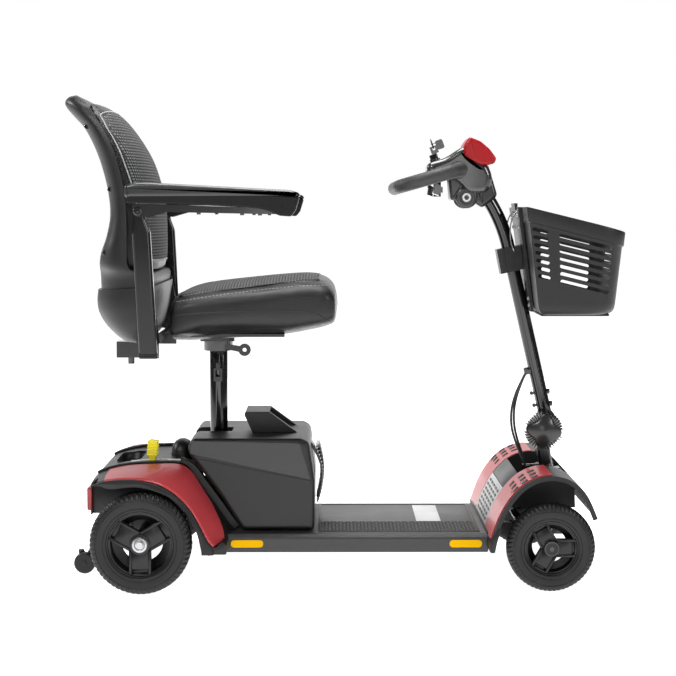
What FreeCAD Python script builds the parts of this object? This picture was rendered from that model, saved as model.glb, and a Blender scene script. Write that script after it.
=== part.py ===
import FreeCAD, Part
import math
import os

# Four-wheel mobility scooter, millimetres. While modelling, x runs forward from the rear axle,
# y to the rider's left and z up from the ground. Every solid is moved back by X_MID on export,
# so the row frame's origin is on the ground in the middle of the whole object's box.
V = FreeCAD.Vector
X_AXIS, Y_AXIS, Z_AXIS = V(1, 0, 0), V(0, 1, 0), V(0, 0, 1)
X_MID = 406.5

# Wheels
WHEELBASE = 820.0
REAR_R, REAR_W, REAR_OUT = 101.6, 60.0, 270.0
FRONT_R, FRONT_W, FRONT_OUT = 88.9, 48.0, 248.0
REAR_RIM_R, FRONT_RIM_R = 68.0, 56.0
AXLE_R, RUN, LOOSE = 8.0, 0.05, 0.6
TIP_X, TIP_Z, TIP_R = -133.0, 32.0, 22.0
FREE_PIVOT = V(8, -96, 196)

# Steering: the kingpins and the stem lean back alike, so the tie rod moves as a parallelogram
LEAN = 8.0
KINGPIN_Y, ARM = 184.0, 45.0
STEM_X = 34.1
STEM_R, HEAD_R = 12.0, 24.0
HINGE = V(828, 0, 300)
TILLER_R = 14.5

# Frame and deck
RAIL_Y, RAIL = 80.0, 25.0
DECK_Y, DECK_TOP, DECK_LOW = 177.0, 105.0, 68.0
DECK_X0, DECK_X1 = 122.0, 700.0
SKIN = 3.0

# Seat
POST_X, POST_R = 140.0, 19.0
SEAT_Y, SEAT_LOW = 205.0, 512.0
BACK_HINGE = V(6, 0, 605)
ARM_Y, ARM_T = 245.0, 20.0
ARM_PIVOT = V(2, 0, 761)

# Battery pack
PACK_Y, PACK_X0, PACK_X1, PACK_Z0, PACK_Z1 = 150.0, 86.0, 346.0, 107.5, 297.0

# Throttle's pivot, and the reflectors along the deck's sides
THROTTLE = V(604, 0, 805)
REFLECTOR_L, REFLECTOR_Z0, REFLECTOR_Z1 = 66.0, 78.0, 93.0


def box(x0, x1, y0, y1, z0, z1):
    return Part.makeBox(x1 - x0, y1 - y0, z1 - z0, V(x0, y0, z0))


def rod(start, axis, radius, length):
    return Part.makeCylinder(radius, length, V(*start), axis)


def pipe(start, axis, radius, bore, length):
    return rod(start, axis, radius, length).cut(rod(start, axis, bore, length))


def face_of(points):
    wire = Part.makePolygon([V(*p) for p in points] + [V(*points[0])])
    return Part.Face(wire)


def prism(points, y0, y1):
    """An x-z outline carried from y0 to y1."""
    return face_of([(x, y0, z) for x, z in points]).extrude(V(0, y1 - y0, 0))


def prism_x(points, x0, x1):
    """A y-z outline carried from x0 to x1."""
    return face_of([(x0, y, z) for y, z in points]).extrude(V(x1 - x0, 0, 0))


def both_sides(shape):
    return [shape, mirrored(shape)]


def mirrored(shape):
    return shape.mirror(V(0, 0, 0), Y_AXIS)


def fuse(*shapes):
    whole = shapes[0].multiFuse(list(shapes[1:]))
    return whole.removeSplitter()


def lean(shape):
    """From the steering's own upright frame, centred between the kingpins, to where it stands."""
    placed = shape.copy()
    placed.rotate(V(0, 0, 0), Y_AXIS, -LEAN)
    placed.translate(V(WHEELBASE, 0, FRONT_R))
    return placed


def turned(points, centre, axis=Y_AXIS):
    """Points (radius, distance along the axis) swept once round the axis through centre."""
    section = [V(centre[0] + r, centre[1] + a, centre[2]) for r, a in points]
    face = Part.Face(Part.makePolygon(section + [section[0]]))
    return face.revolve(V(*centre), axis, 360)


def spline(points):
    curve = Part.BSplineCurve()
    curve.interpolate([V(*p) for p in points])
    return curve.toShape()


def normals(points):
    """Unit normals of an x-z line, to its left as it runs."""
    found = []
    for i in range(len(points)):
        a, b = points[max(i - 1, 0)], points[min(i + 1, len(points) - 1)]
        dx, dz = b[0] - a[0], b[1] - a[1]
        size = math.hypot(dx, dz)
        found.append((-dz / size, dx / size))
    return found


def offset(points, distance):
    return [(p[0] + n[0] * distance, p[1] + n[1] * distance)
            for p, n in zip(points, normals(points))]


def band(points, low, high, y0, y1):
    """The strip between two offsets of a smooth x-z line, carried from y0 to y1."""
    inner = [(x, y0, z) for x, z in offset(points, low)]
    outer = [(x, y0, z) for x, z in offset(points, high)]
    edges = [spline(inner), Part.makeLine(V(*inner[-1]), V(*outer[-1])),
             spline(outer[::-1]), Part.makeLine(V(*outer[0]), V(*inner[0]))]
    return Part.Face(Part.Wire(edges)).extrude(V(0, y1 - y0, 0))


def rounded_path(points, share=0.45):
    """Straight runs joined by tangent arcs, each as large as its two runs allow."""
    points = [V(*p) for p in points]
    edges, last = [], points[0]
    for a, p, b in zip(points, points[1:], points[2:]):
        u, w = (p - a).normalize(), (b - p).normalize()
        turn = u.getAngle(w)
        cut = share * min((p - a).Length, (b - p).Length)
        radius = cut / math.tan(turn / 2)
        start, end = p - u * cut, p + w * cut
        middle = (start + end) / 2
        centre = p + (middle - p) * (1 / math.sin(turn / 2) ** 2)
        arc_mid = centre + (p - centre).normalize() * radius
        if (start - last).Length > 1e-6:
            edges.append(Part.LineSegment(last, start).toShape())
        edges.append(Part.Arc(start, arc_mid, end).toShape())
        last = end
    edges.append(Part.LineSegment(last, points[-1]).toShape())
    return Part.Wire(edges)


def swept(wire, radius):
    first = wire.Edges[0]
    at, along = first.valueAt(first.FirstParameter), first.tangentAt(first.FirstParameter)
    section = Part.Wire(Part.makeCircle(radius, at, along))
    return wire.makePipeShell([section], True, True)


# ---------------------------------------------------------------- frame

def main_frame():
    rails = [box(105, 700, s * RAIL_Y - RAIL / 2, s * RAIL_Y + RAIL / 2, 72, 97) for s in (-1, 1)]
    ties = [box(x, x + RAIL, -RAIL_Y, RAIL_Y, 72, 97) for x in (112, 420, 675)]
    neck = box(690, 892, -15, 15, 72, 97)
    beam = box(-10, 10, -168, 168, -11, 11)
    ends = []
    for s in (-1, 1):
        low, high = sorted((s * 160, s * 168))
        ends.append(box(-12, 12, low, high, -29, 29))
        for z in (-29, 21):
            low, high = sorted((s * 160, s * KINGPIN_Y))
            ends.append(box(-12, 12, low, high, z, z + 8))
            ends.append(rod((0, s * KINGPIN_Y, z), Z_AXIS, 12, 8))
    gusset = box(STEM_X + 18, STEM_X + 32, -15, 15, 0, 118)
    head = rod((STEM_X, 0, 46), Z_AXIS, HEAD_R, 72)
    frame = fuse(*rails, *ties, neck, lean(fuse(beam, *ends)), lean(fuse(gusset, head)))
    bores = [rod((0, s * KINGPIN_Y, -40), Z_AXIS, AXLE_R + RUN, 80) for s in (-1, 1)]
    bores.append(rod((STEM_X, 0, 20), Z_AXIS, HEAD_R - 4, 110))
    return frame.cut(lean(Part.makeCompound(bores)))


def head_bearings():
    return [lean(pipe((STEM_X, 0, z), Z_AXIS, HEAD_R - 4, STEM_R + RUN, 12)) for z in (48, 104)]


def deck_pan():
    outline = [(-DECK_Y, DECK_LOW), (-DECK_Y, 97), (-169, DECK_TOP), (169, DECK_TOP),
               (DECK_Y, 97), (DECK_Y, DECK_LOW)]
    inside = [(-DECK_Y + SKIN, DECK_LOW - 1), (-DECK_Y + SKIN, 96), (-167, DECK_TOP - SKIN),
              (167, DECK_TOP - SKIN), (DECK_Y - SKIN, 96), (DECK_Y - SKIN, DECK_LOW - 1)]
    pan = prism_x(outline, DECK_X0, DECK_X1).cut(prism_x(inside, DECK_X0 - 1, DECK_X1 + 1))
    return pan.cut(box(DECK_X0 - 1, 176, -100, 100, 90, 110))


def deck_mat():
    mat = box(352, 686, -154, 154, DECK_TOP, DECK_TOP + 2)
    return mat.makeFillet(8, [e for e in mat.Edges if e.BoundBox.ZLength > 1.9])


def side_reflectors():
    pieces = []
    for x in (175, 621):
        bar = box(x, x + REFLECTOR_L, -DECK_Y - 1.5, -DECK_Y, REFLECTOR_Z0, REFLECTOR_Z1)
        ends = [e for e in bar.Edges if e.BoundBox.YLength > 1.4]
        pieces += both_sides(bar.makeFillet(7.0, ends))
    return pieces


# ---------------------------------------------------------------- front shroud

FRONT_ARCH = [(701, 105), (713, 140), (738, 186), (766, 215), (797, 230), (830, 233),
              (860, 224), (886, 202), (903, 172), (913, 147)]
FRONT_SIDE, FENDER_IN = 236.0, 100.0
VALLEY_Z, WALL_LOW = 186.0, 146.0


def front_shroud():
    """A fender over each wheel, with a lower valley between them where the stem stands."""
    fenders, lips, walls = [], [], []
    for s in (-1, 1):
        low, high = sorted((s * FENDER_IN, s * FRONT_SIDE))
        fenders.append(band(FRONT_ARCH, -SKIN, 0, low, high))
        low, high = sorted((s * (FRONT_SIDE - 10), s * FRONT_SIDE))
        lips.append(band(FRONT_ARCH, -9, 0, low, high))
        low, high = sorted((s * FENDER_IN, s * (FENDER_IN + SKIN)))
        under = [p for p in FRONT_ARCH if p[1] >= VALLEY_Z]
        wall = [(x, z - 1) for x, z in under] + [(888, WALL_LOW), (740, WALL_LOW)]
        walls.append(prism(wall, low, high))
    valley = band(FRONT_ARCH, -SKIN, 0, -FENDER_IN - 1, FENDER_IN + 1)
    valley = valley.cut(box(736, 885, -150, 150, 150, 300))
    floor = box(736, 890, -FENDER_IN - 1, FENDER_IN + 1, VALLEY_Z - SKIN, VALLEY_Z)
    toe = [prism([(702, 104.5), (706, 104.5), (705, 78), (701, 78)], s * 206 - 29, s * 206 + 29)
           for s in (-1, 1)]
    shell = fuse(*fenders, *lips, *walls, valley, floor, *toe)
    well = rod((842, 0, VALLEY_Z - 20), Z_AXIS, 46, 40)
    return shell.cut(well)


def front_shroud_panels():
    strip = band(FRONT_ARCH, 0, 2, -FRONT_SIDE + 10.5, -FENDER_IN - 2)
    strip = strip.cut(box(822, 960, -300, 0, 0, 300))
    for x in (748, 767, 786):
        for k in range(3):
            y = -216 + 9 * k
            strip = strip.cut(box(x - 6, x + 6, y, y + 3.5, 150, 260))
    return both_sides(strip)


def shroud_grille():
    plate = band(FRONT_ARCH, 0, 1.6, -FENDER_IN, FENDER_IN)
    plate = plate.common(box(704, 736, -120, 120, 100, 220))
    for row in range(3):
        for k in range(6):
            y = -92 + 32 * k
            z = 120 + 19 * row
            plate = plate.cut(box(700, 745, y, y + 20, z, z + 6))
    return plate


# ---------------------------------------------------------------- drive section

def rear_frame():
    rails = [box(-95, 150, s * RAIL_Y - RAIL / 2, s * RAIL_Y + RAIL / 2, 122, 147) for s in (-1, 1)]
    cross = box(116, 164, -92.5, 92.5, 97, 122)
    back = box(-95, -80, -RAIL_Y, RAIL_Y, 137.5, 147)
    socket = rod((POST_X, 0, 97), Z_AXIS, POST_R + 5, 193)
    return fuse(*rails, cross, back, socket).cut(rod((POST_X, 0, 105), Z_AXIS, POST_R + RUN, 190))


def transaxle_housing():
    body = box(-42, 42, -45, 45, 60, 118)
    body = body.makeFillet(12, [e for e in body.Edges if e.BoundBox.YLength > 80])
    tubes = rod((0, -198, REAR_R), Y_AXIS, 17, 396)
    saddles = [box(-20, 20, s * RAIL_Y - RAIL / 2, s * RAIL_Y + RAIL / 2, 95, 122) for s in (-1, 1)]
    ear = FREE_PIVOT.y - 18.5
    bracket = box(FREE_PIVOT.x - 11, FREE_PIVOT.x + 11, ear, ear + 6, 106, FREE_PIVOT.z + 11)
    housing = fuse(body, tubes, *saddles, bracket)
    housing = housing.cut(rod((0, -200, REAR_R), Y_AXIS, AXLE_R + RUN, 400))
    return housing.cut(rod((FREE_PIVOT.x, ear - 5, FREE_PIVOT.z), Y_AXIS, 5 + RUN, 20))


def drive_motor():
    can = rod((-74, -58, 104), Y_AXIS, 32, 98)
    brake = rod((-74, 40, 104), Y_AXIS, 26, 22)
    return [can, brake]


def controller():
    case = box(-60, 58, -58, 58, 147, 188)
    fins = [box(-60, 58, y, y + 3, 188, 194) for y in range(-54, 56, 12)]
    return fuse(case, *fins)


REAR_SIDE, REAR_FLAT = 250.0, 160.0
REAR_MIDDLE = [(-108, 150), (-108, 208), (-101, 222), (-79, 231), (-38, 240), (11, 243), (72, 242),
               (88, 232), (107, 205), (140, 161), (166, 124), (183, 108), (176, 74)]
REAR_EDGE = [(-104, 150), (-104, 206), (-97, 218), (-72, 226), (-35, 229), (0, 227), (36, 217),
             (70, 196), (98, 167), (117, 134), (131, 105), (142, 88), (142, 74)]
REAR_ARCH = [(-99, 232), (-79, 217), (-59, 210), (-12, 214), (28, 206), (62, 190), (91, 161),
             (110, 126), (119, 92), (123, 70)]


def ring_at(line, y):
    return Part.makePolygon([V(x, y, z) for x, z in line] + [V(line[0][0], y, line[0][1])])


def rear_form(middle, edge, side):
    """The whole fender form: flat across the middle, and falling towards each wheel's outer face."""
    flank = Part.makeLoft([ring_at(middle, REAR_FLAT), ring_at(edge, side)], True, True)
    centre = prism(middle, -REAR_FLAT, REAR_FLAT)
    return fuse(centre, flank, mirrored(flank))


def inset_line(line, inset):
    """The line moved in, and let down past the bottom so that the shell is open below."""
    moved = offset(line, -inset)
    return [(moved[0][0], 60)] + moved[1:-1] + [(moved[-1][0], 60)]


def rear_shroud():
    inner = rear_form(inset_line(REAR_MIDDLE, SKIN), inset_line(REAR_EDGE, SKIN), REAR_SIDE - SKIN)
    shell = rear_form(REAR_MIDDLE, REAR_EDGE, REAR_SIDE).cut(inner)
    rim = REAR_ARCH + [(-130, 60), (-130, 240)]
    for s in (-1, 1):
        low, high = sorted((s * 196, s * 300))
        shell = shell.cut(prism(rim, low, high))
    shell = shell.cut(box(90, 230, -180, 180, 40, 109))
    over_rails = box(90, 230, -RAIL_Y - 17, RAIL_Y + 17, 40, 151)
    round_socket = box(POST_X - 32, POST_X + 32, -30, 30, 140, 240)
    shell = shell.cut(over_rails).cut(round_socket)
    slot_y = FREE_PIVOT.y
    return shell.cut(box(FREE_PIVOT.x - 30, FREE_PIVOT.x + 32, slot_y - 13, slot_y + 13, 225, 270))


def rear_shroud_panels():
    """A skin on the form's outside, over each fender between its lip and its inner edge."""
    rise = 1.6
    outer = rear_form(offset(REAR_MIDDLE, rise), offset(REAR_EDGE, rise), REAR_SIDE)
    skin = outer.cut(rear_form(REAR_MIDDLE, REAR_EDGE, REAR_SIDE))
    lip = 5.0
    skin = skin.cut(prism(REAR_ARCH + [(-130, 60), (-130, 232)], -300, 300))
    skin = skin.common(box(-92, 172, -REAR_SIDE + lip, -111, 93, 260))
    skin = skin.cut(box(80, 200, -162, 0, 60, 300))
    return both_sides(skin)


def rear_reflectors():
    lamp = box(-114, -108, -190, -110, 162, 200)
    return both_sides(lamp.makeFillet(4, [e for e in lamp.Edges if e.BoundBox.XLength > 5]))


def antitip_arms():
    outline = [(-94, 146), (-68, 146), (-68, 122), (-118, 20), (-146, 22), (-148, 58), (-138, 58),
               (-132, 46), (-96, 118)]
    arm = prism(outline, 92.5, 98.5).cut(rod((TIP_X, 90, TIP_Z), Y_AXIS, 5 + RUN, 12))
    return both_sides(arm)


def antitip_wheels():
    axle = rod((TIP_X, -122, TIP_Z), Y_AXIS, 5, 244)
    rollers = [turned([(0, -10), (TIP_R - 3, -10), (TIP_R, -6), (TIP_R, 6), (TIP_R - 3, 10), (0, 10)],
                      (TIP_X, s * 109.5, TIP_Z)) for s in (-1, 1)]
    return fuse(axle, *rollers)


def freewheel_lever():
    x, y, z = FREE_PIVOT
    stalk = prism([(x - 6, z - 5), (x + 6, z - 5), (x + 7, z + 58), (x - 7, z + 58)], y - 7, y + 7)
    head = prism([(x - 8, z + 58), (x + 8, z + 58), (x + 11, z + 90), (x - 4, z + 93),
                  (x - 9, z + 86)], y - 10, y + 10)
    pin = rod((x, y - 20, z), Y_AXIS, 5, 32)
    return fuse(stalk, head, pin)


# ---------------------------------------------------------------- wheels

def tyre(radius, width, rim, centre):
    h = width / 2
    outline = [(rim, -h + 6), (rim + 6, -h), (radius - 16, -h), (radius - 5, -h + 6),
               (radius, -h + 16), (radius, h - 16), (radius - 5, h - 6), (radius - 16, h),
               (rim + 6, h), (rim, h - 6)]
    return turned(outline, centre)


def wheel_rim(rim, width, hub, centre, side, turn):
    """Three broad spokes near the outer face, a barrel and a hub bored for its axle."""
    h = width / 2 - 6
    barrel = turned([(rim - 6, -h), (rim, -h), (rim, h), (rim - 6, h)], centre)
    boss = turned([(0, -h), (hub, -h), (hub, h), (0, h)], centre)
    parts = [barrel, boss]
    low, high = sorted((side * (h - 4), side * (h - 16)))
    for k in range(3):
        spoke = box(hub - 4, rim - 6.5, low, high, -20, 20)
        spoke.rotate(V(0, 0, 0), Y_AXIS, turn + 120 * k)
        spoke.translate(V(*centre))
        parts.append(spoke)
    bore = rod((centre[0], centre[1] - width, centre[2]), Y_AXIS, AXLE_R, 2 * width)
    return fuse(*parts).cut(bore)


REAR_Y = REAR_OUT - REAR_W / 2
FRONT_Y = FRONT_OUT - FRONT_W / 2


def rear_wheel(s):
    centre = (0, s * REAR_Y, REAR_R)
    return (tyre(REAR_R, REAR_W, REAR_RIM_R, centre),
            wheel_rim(REAR_RIM_R, REAR_W, 22, centre, s, 90))


def rear_axle(s):
    face = REAR_Y + REAR_W / 2 - 6
    shaft = rod((0, 42, REAR_R), Y_AXIS, AXLE_R, face - 42)
    washer = rod((0, face, REAR_R), Y_AXIS, 15.5, 3)
    head = rod((0, face + 3, REAR_R), Y_AXIS, 7, 5)
    axle = fuse(shaft, washer, head)
    return axle if s > 0 else mirrored(axle)


def front_wheel(s):
    centre = (WHEELBASE, s * FRONT_Y, FRONT_R)
    rim = wheel_rim(FRONT_RIM_R, FRONT_W, 17, centre, s, 0)
    bore = rod((WHEELBASE, s * FRONT_Y - 40, FRONT_R), Y_AXIS, AXLE_R + RUN, 80)
    return tyre(FRONT_R, FRONT_W, FRONT_RIM_R, centre), rim.cut(bore)


def steering_knuckle(s):
    """Barrel and pin between the beam's ears, the wheel's spindle, and the steering arm on top."""
    y = s * KINGPIN_Y
    barrel = rod((0, y, -20.5), Z_AXIS, 13, 41)
    pin = rod((0, y, -34), Z_AXIS, AXLE_R, 69)
    arm = fuse(box(-ARM, 0, y - 7, y + 7, 29.5, 35), rod((0, y, 29.5), Z_AXIS, 12, 5.5),
               rod((-ARM, y, 29.5), Z_AXIS, 7, 5.5), rod((-ARM, y, 29), Z_AXIS, 4, 13))
    turning = lean(fuse(barrel, pin, arm))
    end = FRONT_OUT - 2
    length = end - KINGPIN_Y
    start = KINGPIN_Y if s > 0 else -end
    spindle = rod((WHEELBASE, start, FRONT_R), Y_AXIS, AXLE_R, length)
    cap_y = FRONT_Y + FRONT_W / 2 - 6
    cap = rod((WHEELBASE, cap_y + 0.3, FRONT_R), Y_AXIS, 15, 5)
    collar_y = FRONT_Y - FRONT_W / 2 + 5.5
    collar = rod((WHEELBASE, KINGPIN_Y, FRONT_R), Y_AXIS, 11, collar_y - KINGPIN_Y)
    if s < 0:
        cap, collar = mirrored(cap), mirrored(collar)
    return fuse(turning, spindle, cap, collar)


def tie_rod():
    bar = box(-ARM - 7, -ARM + 7, -KINGPIN_Y, KINGPIN_Y, 35.3, 41.3)
    eyes = [rod((-ARM, s * KINGPIN_Y, 35.3), Z_AXIS, 8, 6) for s in (-1, 1)]
    tab = box(-ARM, STEM_X - ARM, -9, 9, 35.3, 41.3)
    eye = rod((STEM_X - ARM, 0, 35.3), Z_AXIS, 9, 6)
    bores = [rod((-ARM, s * KINGPIN_Y, 30), Z_AXIS, 4 + LOOSE, 20) for s in (-1, 1)]
    bores.append(rod((STEM_X - ARM, 0, 30), Z_AXIS, 4 + RUN, 20))
    return lean(fuse(bar, *eyes, tab, eye).cut(Part.makeCompound(bores)))


# ---------------------------------------------------------------- steering and tiller

def steering_stem():
    """Stem, its arm on the tie rod, and the fork that holds the tiller's hinge."""
    stem = rod((STEM_X, 0, 24), Z_AXIS, STEM_R, 140)
    arm = box(STEM_X - ARM, STEM_X, -8, 8, 29.5, 35)
    end = rod((STEM_X - ARM, 0, 29.5), Z_AXIS, 8, 5.5)
    pin = rod((STEM_X - ARM, 0, 29), Z_AXIS, 4, 13)
    collar = rod((STEM_X, 0, 116.5), Z_AXIS, 19, 16)
    base = box(STEM_X - 13, STEM_X + 15, -26, 26, 132, 178)
    base = base.makeFillet(5, [e for e in base.Edges if e.BoundBox.ZLength > 40])
    lower = lean(fuse(stem, arm, end, pin, collar, base))
    ears = []
    for low in (-26, 18):
        ear = fuse(rod((HINGE.x, low, HINGE.z), Y_AXIS, 22, 8),
                   prism([(HINGE.x - 11, 256), (HINGE.x + 15, 256), (HINGE.x + 22, HINGE.z),
                          (HINGE.x - 22, HINGE.z)], low, low + 8))
        ears.append(ear)
    gap = rod((HINGE.x, -17.9, HINGE.z), Y_AXIS, 27.5, 35.8)
    bore = rod((HINGE.x, -40, HINGE.z), Y_AXIS, 6 + RUN, 80)
    return fuse(lower, *ears).cut(gap).cut(bore)


def tiller_knob():
    """Four-lobed clamp knob on its bolt, and the bolt's nut on the far side."""
    grip = rod((HINGE.x, -58, HINGE.z), Y_AXIS, 37, 26)
    for k in range(4):
        bite = rod((HINGE.x + 46, -60, HINGE.z), Y_AXIS, 14, 32)
        bite.rotate(HINGE, Y_AXIS, 90 * k)
        grip = grip.cut(bite)
    dome = Part.makeSphere(60, V(HINGE.x, -10, HINGE.z)).common(
        rod((HINGE.x, -71, HINGE.z), Y_AXIS, 33, 13))
    collar = rod((HINGE.x, -32, HINGE.z), Y_AXIS, 14, 5.7)
    bolt = rod((HINGE.x, -40, HINGE.z), Y_AXIS, 6, 78)
    nut = rod((HINGE.x, 26.3, HINGE.z), Y_AXIS, 11, 9)
    return fuse(grip, dome, collar, bolt, nut)


TILLER_PATH = [(839, 0, 322), (743, 0, 738), (712, 0, 787)]


def tiller_form():
    """The tiller's bent tube as one solid bar, also used to bore whatever closes round it."""
    return swept(rounded_path(TILLER_PATH, 0.95), TILLER_R)


def tiller_axis_x(z):
    """Where the straight part of the tiller is at height z."""
    (x0, _, z0), (x1, _, z1) = TILLER_PATH[0], TILLER_PATH[1]
    return x0 + (z - z0) * (x1 - x0) / (z1 - z0)


def tiller_tube():
    tube = tiller_form()
    eye = rod((HINGE.x, -17.5, HINGE.z), Y_AXIS, 21, 35)
    neck = prism([(812, 300), (846, 300), (856, 330), (838, 352), (820, 340)], -14, 14)
    clips = []
    for z in (352, 378):
        x = tiller_axis_x(z)
        clips.append(rod((x + 10, 0, z), X_AXIS, 5.5, 10))
        clips.append(rod((x - 18.5, -3, z - 4), Y_AXIS, 4, 6))
        clips.append(rod((x - 19, 0, z - 4), X_AXIS, 2, 11))
    bore = rod((HINGE.x, -40, HINGE.z), Y_AXIS, 6 + RUN, 80)
    return fuse(tube, eye, neck, *clips).cut(bore)


def basket_bracket():
    """Clamp block and saddle round the tiller, with the plate that the basket hangs on."""
    block = prism([(742, 683), (780, 690), (787, 640), (752, 632)], -24, 24)
    saddle = prism([(729, 680), (743, 683), (753, 632), (739, 629)], -20, 20)
    plate = prism([(768, 770), (774, 770), (803, 552), (797, 552)], -62, 62)
    lug = prism([(766, 764), (771, 764), (771, 778), (764, 778)], -30, 30)
    return fuse(block, saddle, plate, lug).cut(tiller_form())


BASKET_TOP = [(779, 772), (990, 716)]


def basket_wire(x0, x1, half, corner, z):
    """A tub's plan at height z: square to the bracket, with broad rounded front corners."""
    r, s = corner, math.sqrt(0.5)
    edges = [Part.makeLine(V(x0, -half, z), V(x1 - r, -half, z)),
             Part.Arc(V(x1 - r, -half, z), V(x1 - r + r * s, -half + r - r * s, z),
                      V(x1, -half + r, z)).toShape(),
             Part.makeLine(V(x1, -half + r, z), V(x1, half - r, z)),
             Part.Arc(V(x1, half - r, z), V(x1 - r + r * s, half - r + r * s, z),
                      V(x1 - r, half, z)).toShape(),
             Part.makeLine(V(x1 - r, half, z), V(x0, half, z)),
             Part.makeLine(V(x0, half, z), V(x0, -half, z))]
    return Part.Wire(edges)


def tub(inset):
    """The basket's outer form, or its inside when inset by the wall."""
    low = 549 + inset
    share = (780 - low) / (780 - 549)
    x_low = 805 - (805 - 776) * (1 - share) + inset
    wires = [basket_wire(x_low, 966 - inset, 138 - inset, 60 - inset, low),
             basket_wire(776 + inset, 988 - inset, 160 - inset, 66 - inset, 780)]
    return Part.makeLoft(wires, True)


def basket():
    shell = tub(0).cut(tub(2.6))
    rim_zone = prism([(780, 747), (1000, 689), (1000, 790), (780, 790)], -200, 200)
    rim = tub(-2.2).cut(tub(0)).common(rim_zone)
    away = prism([(760, 777), (1010, 711), (1010, 900), (760, 900)], -250, 250)
    open_tub = fuse(shell, rim).cut(away)
    slots = []
    for k in range(7):
        drop = 15 * k
        for x0, x1 in ((790, 816), (846, 946)):
            z0, z1 = 727 - drop - (x0 - 790) * 0.25, 727 - drop - (x1 - 790) * 0.25
            lean_x = -k * 1.2
            slots.append(prism([(x0 - lean_x, z0 + 3.4), (x1 - lean_x, z1 + 3.4),
                                (x1 - lean_x, z1 - 3.4), (x0 - lean_x, z0 - 3.4)], -250, 250))
        z = 727 - drop - 44
        slots.append(box(955, 1010, -80, -8, z - 3.4, z + 3.4))
        slots.append(box(955, 1010, 8, 80, z - 3.4, z + 3.4))
    return open_tub.cut(Part.makeCompound(slots))


LOOP_X0, LOOP_Z0, LOOP_X1, LOOP_Z1, LOOP_Y = 519.0, 811.0, 643.0, 846.0, 188.0


def handlebar_loop():
    """One closed wraparound bar in a plane that drops towards the rider."""
    run = math.hypot(LOOP_X1 - LOOP_X0, LOOP_Z1 - LOOP_Z0)
    r = 58.0
    s = math.sqrt(0.5)
    half = LOOP_Y
    p = [V(run, -46, 0), V(run, -half + r, 0), V(run - r + r * s, -half + r - r * s, 0),
         V(run - r, -half, 0), V(r, -half, 0), V(r - r * s, -half + r - r * s, 0),
         V(0, -half + r, 0), V(0, half - r, 0), V(r - r * s, half - r + r * s, 0), V(r, half, 0),
         V(run - r, half, 0), V(run - r + r * s, half - r + r * s, 0), V(run, half - r, 0),
         V(run, 46, 0)]
    edges = [Part.makeLine(p[0], p[1]), Part.Arc(p[1], p[2], p[3]).toShape(),
             Part.makeLine(p[3], p[4]), Part.Arc(p[4], p[5], p[6]).toShape(),
             Part.makeLine(p[6], p[7]), Part.Arc(p[7], p[8], p[9]).toShape(),
             Part.makeLine(p[9], p[10]), Part.Arc(p[10], p[11], p[12]).toShape(),
             Part.makeLine(p[12], p[13])]
    bar = swept(Part.Wire(edges), 14)
    tilt = math.degrees(math.atan2(LOOP_Z1 - LOOP_Z0, LOOP_X1 - LOOP_X0))
    bar.rotate(V(0, 0, 0), Y_AXIS, -tilt)
    bar.translate(V(LOOP_X0, 0, LOOP_Z0))
    return bar


def console_housing():
    head = prism([(580, 848), (583, 861), (617, 873), (654, 897), (654, 875), (692, 856), (706, 856),
                  (716, 830), (706, 800), (668, 800), (640, 826), (600, 834)], -46, 46)
    socket = prism([(654, 862), (692, 856), (708, 856), (726, 797), (722, 787), (697, 767),
                    (680, 778), (664, 802)], -27, 27)
    boss = rod((663, -40, 790), Y_AXIS, 23, 80)
    body = prism([(626, 832), (630, 784), (640, 786), (664, 800), (664, 830)], -34, 34)
    housing = fuse(head, socket, boss, body).cut(tiller_form())
    return housing.cut(rod((THROTTLE.x, 0, 800), Z_AXIS, 5 + RUN, 47))


def console_cap():
    outline = [(655, 875.5), (656, 899), (667, 916), (690, 907), (710, 891), (725, 871), (720, 860),
               (706, 856.5), (692, 856.5)]
    return prism(outline, -48, 48)


def throttle_lever():
    hub = fuse(rod((THROTTLE.x, 0, 792), Z_AXIS, 8, 39), rod((THROTTLE.x, 0, 800), Z_AXIS, 5, 46))
    bar = box(THROTTLE.x - 5, THROTTLE.x + 5, -98, 98, 799, 811)
    paddles = [prism([(588, 797), (600, 793), (604, 812), (592, 820)], s * 104 - 18, s * 104 + 18)
               for s in (-1, 1)]
    return fuse(hub, bar, *paddles)


def on_dash(shape, x, y, z):
    """Stands an upright shape on the sloping dash at x, y."""
    placed = shape.copy()
    placed.rotate(V(0, 0, 0), Y_AXIS, -20)
    placed.translate(V(x, y, z))
    return placed


def speed_dial():
    skirt = rod((0, 0, 0.3), Z_AXIS, 9.5, 5)
    grip = rod((0, 0, 5.3), Z_AXIS, 7.5, 9)
    pointer = box(0, 9, -1, 1, 5.3, 14)
    return on_dash(fuse(skirt, grip, pointer), 597, -20, 866.2)


def ignition_key():
    barrel = rod((0, 0, 0.3), Z_AXIS, 6, 3)
    blade = box(-3, 3, -1, 1, 3.3, 15)
    bow = box(-8, 8, -2.5, 2.5, 15, 31).cut(rod((0, -5, 25), Y_AXIS, 3, 10))
    return on_dash(fuse(barrel, blade, bow), 606, 14, 869.4)


def key_ring():
    """A split ring through the key's bow, and the fob that hangs on it by its own small loop."""
    ring = Part.makeTorus(11, 0.9, V(0, 0, 36), X_AXIS)
    loop = Part.makeTorus(5, 0.7, V(3, 11, 36), Z_AXIS)
    fob = box(7.5, 24, 8.5, 13.5, 20, 40)
    fob = fob.makeFillet(4, [e for e in fob.Edges if e.BoundBox.YLength > 4])
    return [on_dash(part, 606, 14, 869.4) for part in (ring, fuse(fob, loop))]


CABLE_ROUTE = [(797, -5, 423), (779, -9, 392), (764, -12, 350), (762, -12, 309), (772, -11, 272),
               (788, -8, 236), (800, -6, 206)]
CABLE_R = 3.2


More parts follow.
